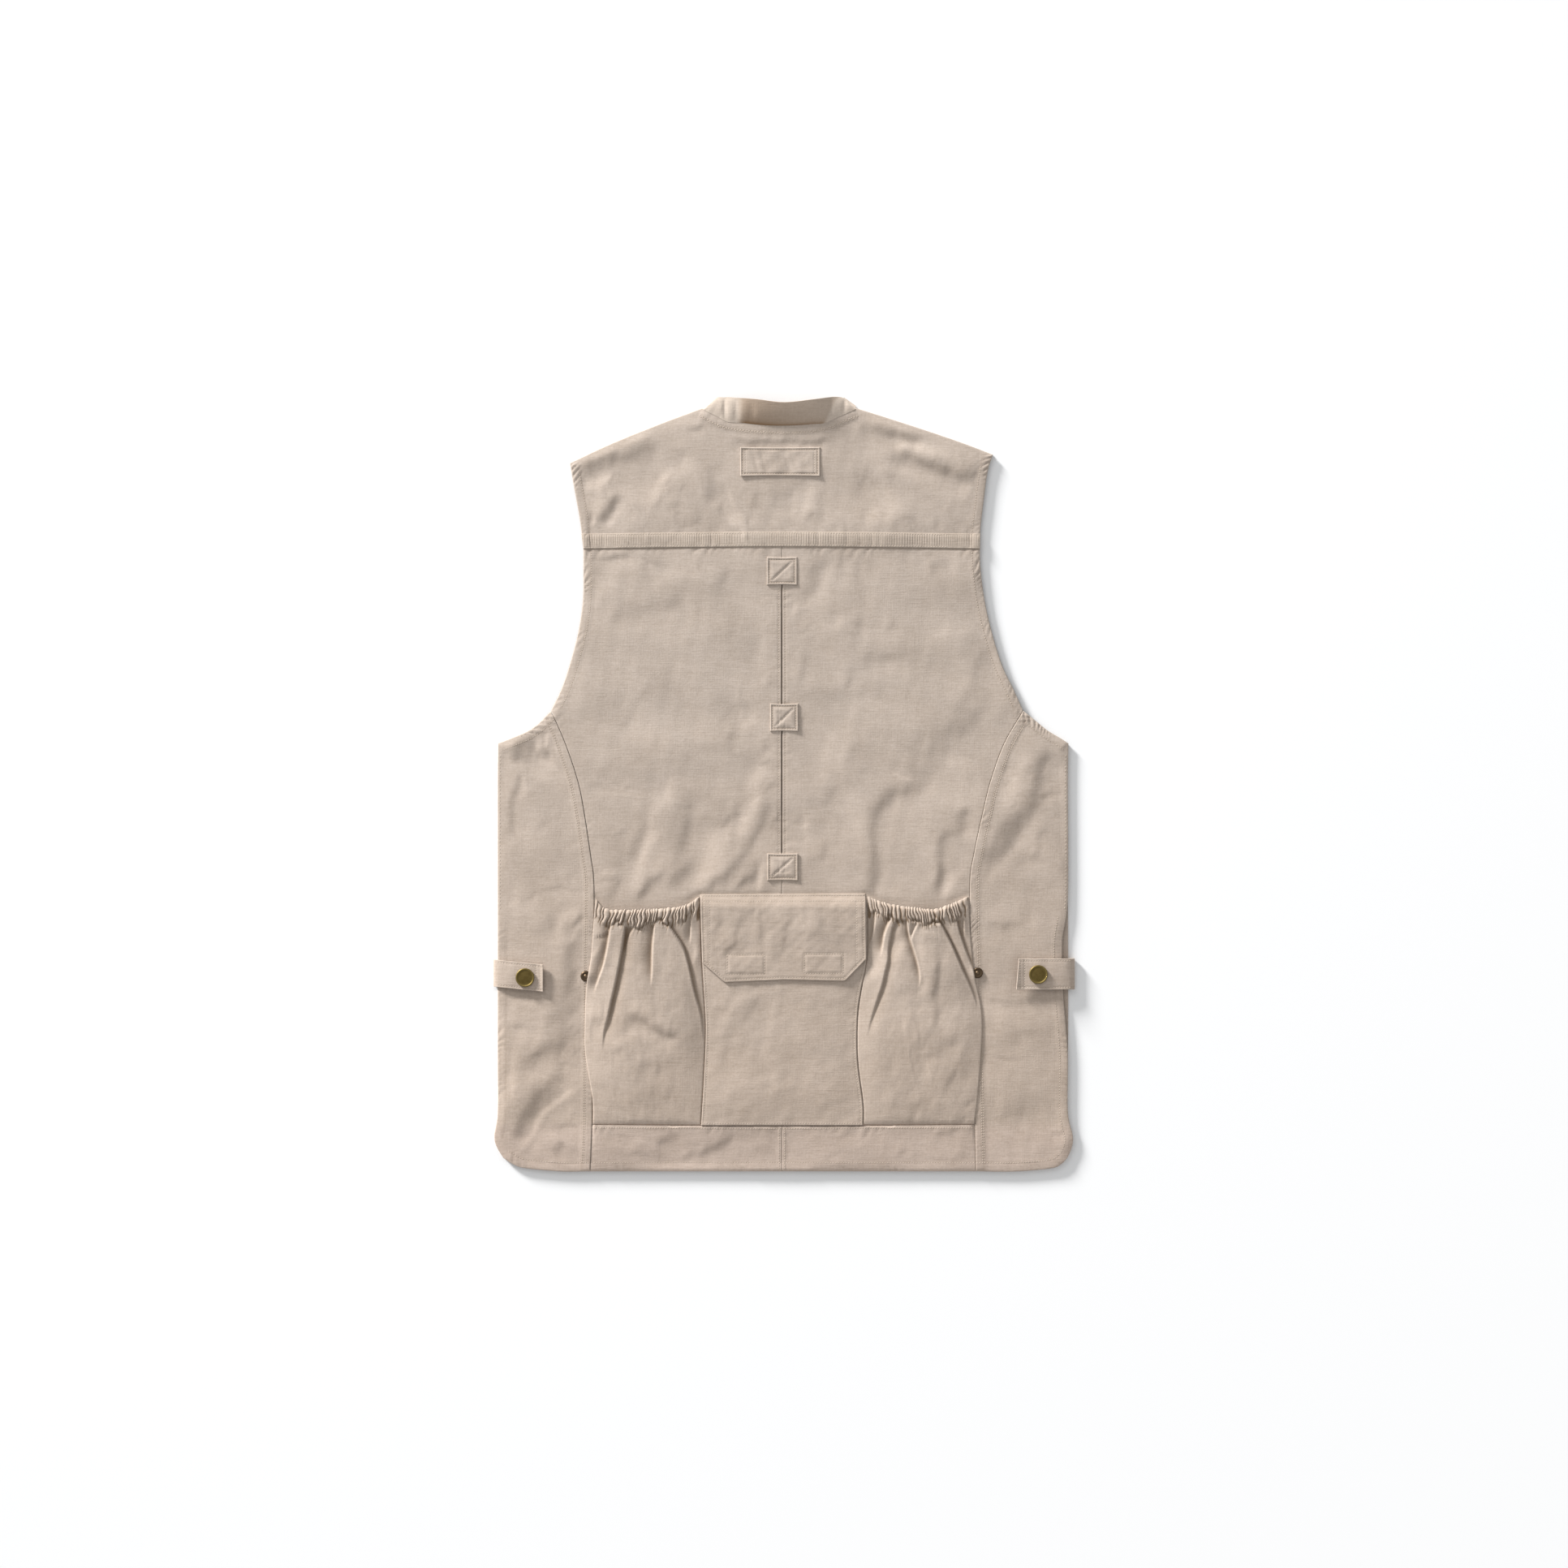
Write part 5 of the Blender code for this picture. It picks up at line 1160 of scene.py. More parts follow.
wave = np.sin(2 * math.pi * (x + 0.8 * np.sin(x / 13) + 0.3 * np.sin(x / 5.1)) / tape["ribPitch"])
top = under + tape["raise"] - 0.42 * ease((above - 11) / 3.4)
top = top + tape["ribHeight"] * wave * ribbed * (1 + 0.4 * np.sin(x / 17))
for row in tape["rows"]:
    top -= 0.13 * bell(above - row, 0.7)
# painted shade in the troughs between the ribs, a little over the whole tape, and along its top edge
shade = 0.3 * shade + 0.04 + 0.16 * ribbed * np.clip(-wave, 0, 1)
clothPiece(
    "yoke_tape", plan, top, tapeCanvas, wall=tape["wall"],
    shade=shade + 0.16 * bell(above - 14.2, 0.9),
)

# the bar patch below the neck and the three square patches over the slit

patches = {  # corners x0, y0, x1, y1, and how far the lower left, lower right and upper left corners lift
    "neck_patch": {"corners": (-42, 296, 34.5, 324), "lift": (1.0, 0.9, 0.3)},
    "slit_patch_1": {"corners": (-16.4, 191.5, 12.5, 218.4), "lift": (0.3, 0.3, 0.1)},
    "slit_patch_2": {"corners": (-13.3, 51, 13.7, 77.6), "lift": (0.3, 0.3, 0.1)},
    "slit_patch_3": {"corners": (-16, -92.4, 13.3, -66.3), "lift": (0.3, 0.4, 0.1)},
}
patchMake = {"raise": 0.85, "wall": 0.75, "seam": 2.3, "grid": 0.9}
# creases across the bar patch: x, width, depth
neckCreases = ((-27.5, 2.4, 0.3), (-19.5, 2.0, 0.2), (3, 3.2, 0.35), (14, 3.5, -0.3), (-8, 4, -0.25))
for node, make in patches.items():
    x0, y0, x1, y1 = make["corners"]
    u, v = graded(x1 - x0, patchMake["grid"], 0.3), graded(y1 - y0, patchMake["grid"], 0.3)
    x, y = np.meshgrid(x0 + u * (x1 - x0), y0 + v * (y1 - y0), indexing="ij")
    s, t = (x - x0) / (x1 - x0), (y - y0) / (y1 - y0)
    plan = np.stack([x, y], axis=-1)
    plan[..., 1] -= 0.5 * np.sin(np.pi * s) * (2 * t - 1) ** 3  # its long edges draw in between the corners
    under = bodyTop(x, y)[0]
    under = np.maximum(under, np.median(under))
    inset = np.minimum(np.minimum(x - x0, x1 - x), np.minimum(y - y0, y1 - y))
    top = under + patchMake["raise"] - 0.42 * bell(inset - patchMake["seam"], 0.75)
    left, right, high = make["lift"]
    top += left * (1 - s) ** 3 * (1 - t) ** 3 + right * s**3 * (1 - t) ** 3 + high * t**6 * (1 - s) ** 6
    if node == "neck_patch":
        on = ["yoke_cloth"]
        for crease, width, depth in neckCreases:
            top -= depth * bell(x - crease + 0.3 * (y - 310), width) * ease((inset - 2) / 3)
        for row in (4.7, 71.2):
            top -= 0.3 * bell(x - x0 - row, 0.7) * ease((inset - 1.5) / 1)
    else:
        on = backCloths
        away = np.abs((x - x0) * (y1 - y0) - (y - y0) * (x1 - x0)) / math.hypot(x1 - x0, y1 - y0)
        top -= 0.5 * bell(away, 1.3) * ease((inset - 3) / 2)
        top += 0.3 * ease((inset - 3.5) / 3)
    top += ripples(x, y, 41, 8, 7, 16, 0.05)
    # painted shade in the stitched groove round the patch
    clothPiece(
        node, plan, top, canvas,
        wall=patchMake["wall"], shade=0.42 * bell(inset - patchMake["seam"], 0.9), rounding=(0.35, 0.8),
    )
print("tape and patches sewn on")

# the snap studs beside the pouches

studs = {  # rings of radius and height from the top of the axis out and down
    "rings": [
        (0, 1.9), (0.9, 1.85), (1.5, 1.6), (1.9, 1.1), (2.6, 0.95), (3.3, 1.35), (4.1, 1.45), (4.8, 1.1),
        (5.1, 0.5), (5.15, 0), (0, 0),
    ],
    "places": {"left": (-190.3, -184.2), "right": (186.0, -181.0)},
    "seat": 4.5,  # radius at which it rests on the cloth
    "rim": 0.4,  # radius that is rubbed bright
}
caps = {
    "rings": [
        (0, 1.75), (2.4, 1.75), (5.2, 1.6), (6.7, 1.45), (7.2, 1.5), (7.7, 1.85), (8.2, 2.05), (8.6, 1.95),
        (8.95, 1.5), (9.0, 0.9), (8.8, 0.3), (8.2, 0), (0, 0),
    ],
    "places": {"left": (-248.6, -185.4), "right": (244.1, -182.4)},
    "seat": 8.2,
    "rim": 8.25,
}


def turnedPiece(node, make, place, on, look, clear=0.0):
    # A spun metal piece that rests on the cloth below it.
    angles = np.linspace(0, 2 * math.pi, 16, endpoint=False)
    seat = [(place[0] + make["seat"] * math.cos(a), place[1] + make["seat"] * math.sin(a)) for a in angles]
    heights = [topOf(on, *spot) for spot in seat]
    base = float(np.mean([height for height in heights if height is not None])) + clear
    bm = bmesh.new()
    profile = [bm.verts.new((radius, 0, height)) for radius, height in make["rings"]]
    edges = [bm.edges.new(pair) for pair in zip(profile, profile[1:])]
    bmesh.ops.spin(
        bm, geom=profile + edges, cent=(0, 0, 0), axis=(0, 0, 1), angle=2 * math.pi, steps=56, use_merge=True
    )
    bmesh.ops.remove_doubles(bm, verts=bm.verts[:], dist=0.005)
    bmesh.ops.recalc_face_normals(bm, faces=bm.faces[:])
    mesh = meshOf(node + "_metal", bm)
    co = np.array([v.co for v in mesh.vertices])
    wear = 0.55 * bell(np.hypot(co[:, 0], co[:, 1]) - make["rim"], 0.7) + 0.08
    mesh.attributes.new("wear", "FLOAT", "POINT").data.foreach_set("value", wear.astype(np.float32))
    mesh.transform(Matrix.Scale(mm, 4) @ Matrix.Translation(Vector((*place, base))))
    mesh.shade_smooth()
    mesh.set_sharp_from_angle(angle=math.radians(50))
    mesh.materials.append(look)
    register(linked(node + "_metal", mesh), node)


for side, place in studs["places"].items():
    on = [f"side_{side}_cloth", f"back_{side}_cloth"]
    turnedPiece("snap_stud_" + side, studs, place, on, studBrass)

# the gathered pouches

pouches = {
    "left": {
        "pleats": [
            (-2.0, 0.7, 6, (-166.9, -134.6), (-168.1, -143.9), (-169.4, -153), (-171.4, -163.4),
             (-173.9, -173.6), (-177.8, -185.2), (-183.3, -201.6)),
            (2.3, 0.9, 6.5, (-152.5, -136.1), (-152.9, -143.9), (-154.4, -155.6), (-157, -168.6),
             (-159.4, -181.3), (-162.2, -194.6), (-165.5, -208.7), (-168.7, -224.2), (-172.4, -238.3),
             (-174.3, -257)),
            (-1.2, 0.7, 4, (-144.3, -138.1), (-148.6, -143.9), (-151.3, -153), (-151.9, -163.4)),
            (-2.0, 0.7, 7, (-124.8, -134.6), (-125.6, -143.9), (-126.5, -155.6), (-126.9, -168.6),
             (-127.1, -184.2), (-127.9, -194.6)),
            (2.2, 0.45, 3.6, (-110.2, -135.3), (-102.4, -146.2), (-96.7, -155.6), (-93.4, -165.8),
             (-90.1, -179), (-87.5, -192), (-84.2, -204.8), (-80.3, -218), (-78, -235.2), (-76, -252.3)),
            (-1.2, 0.6, 4, (-88.9, -124.4), (-89.7, -134.6), (-90.1, -153.3)),
            (0.9, 0.6, 3, (-168.7, -141.3), (-173.9, -145.2), (-183.3, -146.2)),
        ],
        "folds": [
            (0.07, 5.7, 25, (-169.3, -143.9), (-171.6, -149.8), (-177.1, -162.6), (-181.3, -179.8),
             (-184.9, -199.3), (-186.4, -206.3)),
            (-0.17, 2.3, 10, (-172.8, -147), (-182.5, -161.1), (-186.4, -173.9), (-187.6, -196.6)),
            (0.11, 3.4, 15, (-128.7, -168.9), (-128.7, -193.8), (-133, -207.9)),
            (-0.27, 4, 7, (-87.7, -135.3), (-86.2, -156.9), (-87, -173.9)),
            (0.34, 4.5, 13, (-152.9, -220), (-140.4, -223.5), (-126, -232.1), (-111.8, -239.8),
             (-100.6, -240.6)),
            (-0.1, 5.7, 25, (-165.7, -246.1), (-145.9, -243.4), (-127.1, -243.8)),
            (0.07, 3.4, 15, (-165.7, -254.7), (-152.9, -253.9)),
            (0.15, 5.7, 16, (-187.2, -228.5), (-172.8, -226.6)),
            (0.06, 5.7, 16, (-140.4, -266.1), (-126, -267.5), (-107.6, -271.8)),
            (0.036, 4.7, 8, (-185.6, -288.2), (-174.7, -290.2)),
            (0.1, 2, 3, (-165.7, -303), (-157.2, -310.1), (-150.1, -317.1)),
            (0.09, 3.1, 5, (-178.6, -314.3), (-159.9, -321.4)),
            (0.036, 2.3, 10, (-147.4, -306.5), (-134.5, -303)),
        ],
        "mouth": "mouthLeft", "edges": ("pouchLeftOuter", "pouchLeftInner"), "seed": 5, "lean": 0.0016,
    },
    "right": {
        "pleats": [
            (-1.5, 0.7, 5, (87.9, -122.1), (86.6, -133.8), (84.6, -145.5), (81.9, -154.8), (80.1, -164.2)),
            (-2.0, 0.8, 6, (103, -127.5), (99.1, -135.3), (95.9, -144.7), (94.4, -154.8), (92.8, -165)),
            (1.5, 0.9, 5.5, (109.2, -128.9), (104.5, -137.7), (102.2, -148.4), (100.6, -158.7),
             (100.2, -168.9), (97.5, -180.6), (94.4, -193.8), (90.5, -205.5), (87.2, -215.7), (82.7, -230.5),
             (79.6, -244.5)),
            (-1.8, 0.5, 4.5, (117.8, -128.9), (118.4, -135.3), (120.1, -145.5), (123, -154.8), (126.2, -165),
             (128.7, -174.3), (130.1, -182.1), (130.1, -189.9), (127.9, -195.2)),
            (-1.2, 0.6, 3, (127.9, -133.8), (124, -141.6), (121.7, -149.4)),
            (2.2, 0.35, 2.7, (143.5, -125), (150.3, -132.8), (155.2, -141.6), (160.7, -152.3), (165.9, -164),
             (170.8, -175.7), (176.3, -187.4), (181.5, -200.1), (186.4, -214.9)),
            (2.2, 0.35, 2.7, (165.9, -129.9), (168.5, -140.6), (171.1, -148.4), (174.7, -158.7),
             (178.9, -168.9), (181.5, -176.7), (184.1, -186), (186.7, -195.2), (189.5, -210.2)),
            (0.8, 0.6, 2.5, (130.8, -133.8), (135.7, -136.9)),
            (-1.0, 0.6, 3, (172.4, -127.5), (172.4, -148.6)),
        ],
        "folds": [
            (-0.18, 3.9, 11, (95.2, -159.5), (91, -173.9), (83.9, -188.1)),
            (-0.18, 4.5, 20, (117.8, -148.6), (112.3, -159.5), (106.6, -171.2)),
            (-0.14, 4.5, 8, (127.9, -147), (132.6, -164.2), (134.2, -185.2), (132.2, -199.3),
             (126.4, -207.9)),
            (-0.13, 2.8, 5, (126.4, -142.7), (149, -143.5)),
            (0.15, 4, 11, (142.7, -150.9), (147, -171.2), (146.3, -199.3), (145.6, -220.7),
             (146.3, -239.1)),
            (-0.1, 2.3, 6, (157.6, -128.3), (161.9, -141.3), (169, -158.3), (177.5, -178.2)),
            (0.11, 3.1, 5, (174.7, -121.3), (175.5, -150.9)),
            (-0.06, 2.8, 13, (171.6, -220.7), (174.7, -234.9)),
            (-0.12, 5.7, 16, (166.1, -249.2), (153.4, -273.4)),
            (0.11, 3.4, 15, (167.7, -270.3), (159.1, -283.1), (149, -297.3)),
            (0.07, 2.8, 13, (183.3, -301.5), (172.4, -307.7)),
            (-0.08, 2.3, 6, (181.7, -306.9), (173.2, -313.9)),
            (0.09, 3.4, 15, (173.2, -318.6), (167.7, -324.1)),
            (0.07, 2.3, 10, (129.5, -261.7), (143.5, -257.8)),
            (0.07, 6.8, 30, (118.6, -252.3), (131.8, -249.2)),
        ],
        "mouth": "mouthRight", "edges": ("pouchRightInner", "pouchRightOuter"), "seed": 8, "lean": -0.0012,
    },
}
gather = {
    "flat": (0.142, 0.232),
    "wall": 1.15,
    "across": 108,
    "deep": 217,
    "raise": 1.25,
    "puff": 2.8,
    # shares of the way from foot to mouth, and of the puff there
    "rise": ([0, 0.03, 0.1, 0.25, 0.55, 0.85, 1], [0, 0.3, 0.6, 0.8, 0.9, 1.0, 1.05]),
    "lobes": 30,
    "sizes": [0.6, 0.8, 1.0, 1.3, 1.7],
    "band": 14.5,  # how far down the elastic draws the cloth in
    "height": 1.65,
    "scallop": 1.8,
    "pinch": 1.1,
    "tail": 18.0,
    "tailHeight": 0.7,
    "overStud": (1.8, 7),
}


def ruched(share, count, dice, stray):
    # Height of uneven lobes side by side, whose creases wander, and the strength of each lobe.
    edges = np.concatenate([[0], np.cumsum(dice.choice(gather["sizes"], count))])
    strength = dice.uniform(0.6, 1.3, count)
    share = share + 0.006 * np.sin(0.33 * stray + 15 * share) + 0.004 * np.sin(0.6 * stray + 37 * share + 1)
    step = np.clip(np.interp(share, edges / edges[-1], np.arange(count + 1)), 0, count - 0.001)
    own = strength[step.astype(int)]
    return np.abs(np.sin(math.pi * step)) ** 0.7 * own, own


v = 1 - graded(2 * gather["deep"], 2.3, 0.4, 1.07)  # fine at the mouth, coarse at the foot
v = (v[: len(v) // 2 + 1] * 2 - 1)[::-1]
u = graded(gather["across"], 0.46, 0.3)
for side, make in pouches.items():
    dice = np.random.default_rng(make["seed"])
    left, right = (lines[name] for name in make["edges"])
    foot = np.array([left[0], right[0]])
    plan = drawnIn(coons(foot, lines[make["mouth"]], atShares(left, v), atShares(right, v), u, v))
    x, y = plan[..., 0], plan[..., 1]
    share = u[:, None] + 0 * x
    depth = y[:, -1:] - y
    lobes, own = ruched(share + make["lean"] * depth, gather["lobes"], dice, depth)
    tails = ruched(share + make["lean"] * depth, gather["lobes"] // 2, dice, depth)[0]
    belly = 1 - np.abs(2 * share - 1) ** 2.4
    height = np.interp(v, *gather["rise"])[None, :] * gather["puff"] * belly
    folds, shade = foldHeight(x, y, make["folds"])
    pleats, dark = pleatHeight(x, y, make["pleats"])
    shade = shade + dark
    foot = gather["band"] * (0.45 + 0.5 * own)  # each lobe ends at its own depth
    foot = foot + 1.6 * np.sin(share * 21 + make["seed"]) + 1.1 * np.sin(share * 47)
    band = ease((depth + 0.6) / 3.6) * (1 - ease((depth - foot + 2) / 3))
    below = ease((depth - gather["band"] + 2) / 3)
    height = height + folds * (0.35 + 0.65 * below) + pleats * (0.25 + 0.75 * below)
    height += gather["height"] * (lobes - 0.4) * band * (0.45 + 0.55 * np.minimum(1, 2 * belly))
    height += gather["tailHeight"] * (tails - 0.4) * below * bell(depth, gather["tail"]) * belly
    uneven = np.clip(0.75 + 0.55 * np.sin(share * 31) + 0.35 * np.sin(share * 13), 0, 1.5)
    pinch = bell(depth - foot, 1.3) * uneven
    height -= gather["pinch"] * pinch * np.minimum(1, 2 * belly)
    height -= 0.5 * (1 - ease(depth / 5)) * belly
    # painted shade: in the creases between the lobes, at the pinch below the elastic, over the band, and at
    # the mouth's edge where its rise catches the light
    crease = ease(depth / 3) * (1 - ease((depth - foot - 3) / 3)) * np.clip(0.66 - lobes, 0, 1)
    shade += 0.62 * pinch * belly + (1.4 + 1.3 * depth / gather["band"]) * crease + 0.06 * band
    shade += 0.22 * np.exp(-depth / 2.5)
    bump, reach = gather["overStud"]
    studX, studY = studs["places"][side]
    under = bodyTop(x, y, sewn=False)[0] + gather["raise"]
    under += bump * bell(np.hypot(x - studX, y - studY), reach)
    height += 0.9 * ease(depth / 3) * ease((v - 0.12) / 0.3)[None, :] * np.minimum(1, 1.6 * belly)
    height = np.maximum(height, -0.02)
    height += ripples(x, y, 50 + make["seed"], 12, 16, 50, 0.08) * belly * (v > 0.02)[None, :]
    height += ripples(x, y, 56 + make["seed"], 12, 7, 16, 0.035) * belly
    plan[..., 1] += gather["scallop"] * (lobes - 0.5) * np.exp(-depth / 4) * (0.3 + 0.7 * belly)
    clothPiece(
        "pouch_" + side, plan, under + height, canvas,
        wall=gather["wall"], shade=shade, rounding=(0.5, 1.1),
    )
print("pouches gathered")

# the centre pocket and its flap

pocket = {
    "folds": [
        (-0.06, 4.5, 8, (-19.5, -198.5), (-36.7, -203.2), (-47.6, -212.6), (-53.8, -226.6)),
        (0.06, 4.5, 20, (-19.5, -203.2), (-32, -214.1), (-42.9, -225), (-50.7, -237.5), (-56.9, -251.6),
         (-58.5, -271.8), (-61.6, -292.1)),
        (0.12, 2.3, 10, (-67.9, -215.7), (-55.4, -214.9)),
        (0.06, 2, 9, (-1.6, -192.3), (-0.8, -204.8), (0, -215.7)),
        (-0.06, 4.5, 20, (-14.8, -204.8), (-15.6, -232.8), (-16.4, -256.2), (-11.7, -279.6), (-10.1, -303)),
        (0.02, 9, 15, (8.6, -257.8), (7, -279.6)),
        (0.04, 3.4, 10, (28.9, -209.4), (38.2, -209.4)),
        (0.043, 3.4, 15, (47.6, -254.7), (36.7, -260.9)),
        (-0.018, 5.7, 10, (-41.3, -268.7), (-49.1, -287.4), (-56.9, -310.8)),
    ],
    "top": -118.0, "foot": -327.5, "raise": 1.65, "puff": 1.0, "clear": 0.9, "seam": 2.2,
}
v = graded(209, 2.05)
levels = pocket["foot"] + v * (pocket["top"] - pocket["foot"])
left = atLevels(lines["pouchLeftInner"], levels) + (pocket["clear"], 0)
right = atLevels(lines["pouchRightInner"], levels) - (pocket["clear"], 0)
plan = strip(left, right, graded(152, 1.95), v)
x, y = plan[..., 0], plan[..., 1]
inset = np.minimum(x - left[None, :, 0], right[None, :, 0] - x)
folds, shade = foldHeight(x, y, pocket["folds"])
top = bodyTop(x, y, sewn=False)[0] + pocket["raise"] + folds * ease(inset / 8)
fromEnds = ease((y - levelOf["hemSeam"]) / 40), ease((levelOf["pouchMouth"] - y) / 30)
top += pocket["puff"] * ease(inset / 26) * fromEnds[0] * fromEnds[1]
top -= 0.18 * bell(inset - pocket["seam"], 0.8)
# painted shade along the stitched groove
shade = shade + 0.1 * bell(inset - pocket["seam"], 0.9)
gathers = np.sin(2 * math.pi * (y + 0.5 * inset + 2.2 * np.sin(y / 8)) / 6.3) * (0.6 + 0.4 * np.sin(y / 13))
top += 0.08 * gathers * ease(inset / 2) * (1 - ease((inset - 4) / 8))
top += ripples(x, y, 61, 10, 30, 80, 0.05) * ease(inset / 10) + ripples(x, y, 62, 12, 9, 22, 0.035)
clothPiece("pocket", plan, top, canvas, shade=shade)

flap = {
    "folds": [
        (0.07, 2.8, 8, (-60.8, -117.4), (-62.4, -139.2), (-69.4, -150.2)),
        (0.14, 2.8, 13, (-39.8, -119), (-43.7, -133), (-44.5, -147), (-46.8, -154.1), (-56.9, -159.5),
         (-61.6, -167.3)),
        (-0.1, 2, 9, (-39.8, -159.5), (-24.2, -160.3)),
        (0.09, 3.1, 5, (-23.4, -119), (-21.8, -136.1), (-22.6, -150.2)),
        (-0.08, 2.3, 6, (-28.1, -112.7), (-26.5, -123.6)),
        (-0.05, 3.4, 15, (-15.6, -139.2), (-16.4, -162.6)),
        (0.14, 2.3, 10, (9.4, -115.8), (5.5, -126.8), (1.6, -139.2), (0.8, -151.7), (-0.8, -165.8)),
        (0.026, 3.9, 18, (-3.1, -119.7), (0, -131.4)),
        (-0.07, 3.4, 15, (27.3, -119), (22.6, -139.2), (19.5, -154.8), (17.2, -167.3)),
        (-0.09, 2.3, 6, (13.3, -119), (14.8, -129.9)),
        (0.035, 3.4, 10, (32.8, -120.5), (33.5, -145.5)),
        (0.05, 1.6, 3, (41.3, -112.7), (40.6, -123.6)),
        (-0.05, 2.3, 10, (46, -112.7), (46, -121.3)),
        (0.028, 2.3, 4, (50.7, -112.7), (50.7, -121.3)),
        (-0.07, 3.1, 5, (59.3, -115.8), (60.8, -139.2)),
        (0.025, 4.5, 20, (56.2, -142.3), (53, -153.3)),
        (-0.02, 3.4, 15, (75.7, -161.1), (63.2, -168.9)),
        (0.027, 2.3, 6, (-77.2, -167.3), (-66.3, -168.9)),
    ],
    "edge": [
        (-80.5, -105.5), (-78.5, -171), (-57, -190), (0, -187.5),
        (58.5, -188.8), (79, -167.5), (78.3, -104.8),
    ],
    "raise": 1.5,
    "lift": 0.3,
    "seam": 2.4,
    "sides": (-80.2 + 8.6, 78.6 - 8.8),  # x of the stitched lines down its sides
    "boxes": ((-54.6, -182.1, -18.7, -163.4), (19.5, -181.4, 56.9, -162.6)),  # stitched rectangles
}
edge = np.array(flap["edge"], float)
u, v = graded(160, 1.3, 0.3), graded(84, 1.3, 0.3)
plan = coons(
    spread(edge[1:6], 60), spread(edge[[0, 6]], 60),
    atShares(edge[[1, 0]], v), atShares(edge[[5, 6]], v), u, v,
)
x, y = plan[..., 0], plan[..., 1]
inset = nearest(x, y, edge[[0, 1, 2, 3, 4, 5, 6, 0]])[0]
folds, shade = foldHeight(x, y, flap["folds"])
onPocket = 1 - ease((y + 119) / 13)
top = bodyTop(x, y, sewn=False)[0] + flap["raise"] * (0.35 + 0.65 * ease((-104.5 - y) / 8))
top = top + (pocket["raise"] + pocket["puff"]) * onPocket
top += flap["lift"] * ease((-112 - y) / 70) + folds * ease(inset / 5)
top -= 0.24 * bell(inset - flap["seam"], 0.8) * (y < -110)
top -= 0.14 * bell(y + 107.2, 0.8) + 0.17 * bell(y + 112.4, 0.9)
for row in flap["sides"]:
    top -= 0.18 * bell(x - row, 0.8) * (y < -112) * (y > -176)
for x0, y0, x1, y1 in flap["boxes"]:
    outside = np.maximum(np.maximum(x0 - x, x - x1), np.maximum(y0 - y, y - y1))
    top -= 0.3 * bell(outside, 0.85)
    top += 0.25 * (1 - ease((outside + 3) / 3))
    # painted shade round the stitched rectangles
    shade = shade + 0.08 * bell(outside, 1.0)
top += ripples(x, y, 71, 10, 18, 50, 0.06) + ripples(x, y, 72, 12, 7, 16, 0.05)
# painted shade: a little over the whole flap, along its stitched edge, along its top, and over the slope
# where it rises onto the pocket and would catch the light
shade = shade + 0.07 + 0.12 * bell(inset - flap["seam"], 0.9)
shade = shade + 0.2 * bell(y + 105, 1.2) + 0.16 * bell(y + 112, 6)
clothPiece(
    "pocket_flap", plan, top, canvas,
    shade=shade, rounding=(0.5, 1.0),
)
print("pocket and flap laid")

# the side tabs, out of the front's edge, round it and over the side panel

tabs = {  # the path is x and z, from below the vest round its edge to the free end
    "left": {
        "path": [
            (-275.7, 0.85), (-277.4, 1.0), (-278.6, 2.2), (-278.4, 3.8), (-277.0, 5.2), (-273.0, 6.6),
            (-262.0, 8.0), (-246.0, 8.6), (-236.0, 9.0), (-231.2, 9.9),
        ],
        "low": -194.3, "high": -168.2, "slope": -0.1,
    },
    "right": {
        "path": [
            (273.5, 0.85), (276.4, 1.0), (278.6, 2.2), (278.4, 3.8), (276.6, 5.2), (271.5, 6.6),
            (258.0, 8.0), (240.0, 8.6), (230.0, 9.0), (224.0, 9.9),
        ],
        "low": -197.0, "high": -167.2, "slope": 0.0,
    },
}
tabMake = {
    "width": 26, "wall": 1.5, "clear": 1.1, "bevel": 0.45, "seam": 2.2,
    "rows": (2.6, 7.0),  # stitched lines across, from the free end
    "lean": 2.8, "leanFrom": 224,
}
for side, make in tabs.items():
    path = smooth(make["path"], 12)
    path = atShares(path, graded(walked(path)[-1], 0.9, 0.35))
    t = graded(tabMake["width"], 0.9, 0.35)
    fall = make["slope"] * np.abs(path[:, 0] - path[:, 0][np.argmax(np.abs(path[:, 0]))])
    y = (make["low"] + t[None, :] * (make["high"] - make["low"])) + fall[:, None]
    points = np.stack([path[:, :1] + 0 * y, y, path[:, 1:] + 0 * y], axis=-1)
    if side == "right":  # its free end leans
        atEnd = 1 - ease((np.abs(path[:, :1]) - tabMake["leanFrom"]) / 14)
        points[..., 0] += tabMake["lean"] * (t[None, :] - 0.5) * atEnd * 0.85
    flatPart = ease((points[..., 2] - 6) / 1.5)
    inset = np.minimum(t, 1 - t)[None, :] * (tabMake["width"] + 1)
    fromEnd = np.abs(points[..., 0]) - np.abs(path[-1, 0])
    points[..., 2] -= 0.2 * bell(inset - tabMake["seam"], 0.8) * flatPart
    for row in tabMake["rows"]:
        points[..., 2] -= 0.18 * bell(fromEnd - row, 0.8) * flatPart
    uneven = ripples(points[..., 0], y, 81, 8, 14, 40, 0.14)
    points[..., 2] += (0.25 * np.sin(np.pi * t)[None, :] + uneven) * flatPart
    under = bodyTop(points[..., 0], points[..., 1])[0] + tabMake["clear"]
    points[..., 2] = np.where(points[..., 2] > 6, np.maximum(points[..., 2], under), points[..., 2])
    # painted shade in the stitched groove along its edges
    bandPiece(
        "tab_" + side, points if side == "left" else points[::-1], tabMake["wall"], canvas,
        shade=0.08 * bell(inset - tabMake["seam"], 0.9) * flatPart, bevel=tabMake["bevel"],
    )
for side, place in caps["places"].items():
    turnedPiece("snap_cap_" + side, caps, place, [f"tab_{side}_cloth"], capBrass, clear=0.02)
print("tabs and snaps set")

# all the stitching on the back


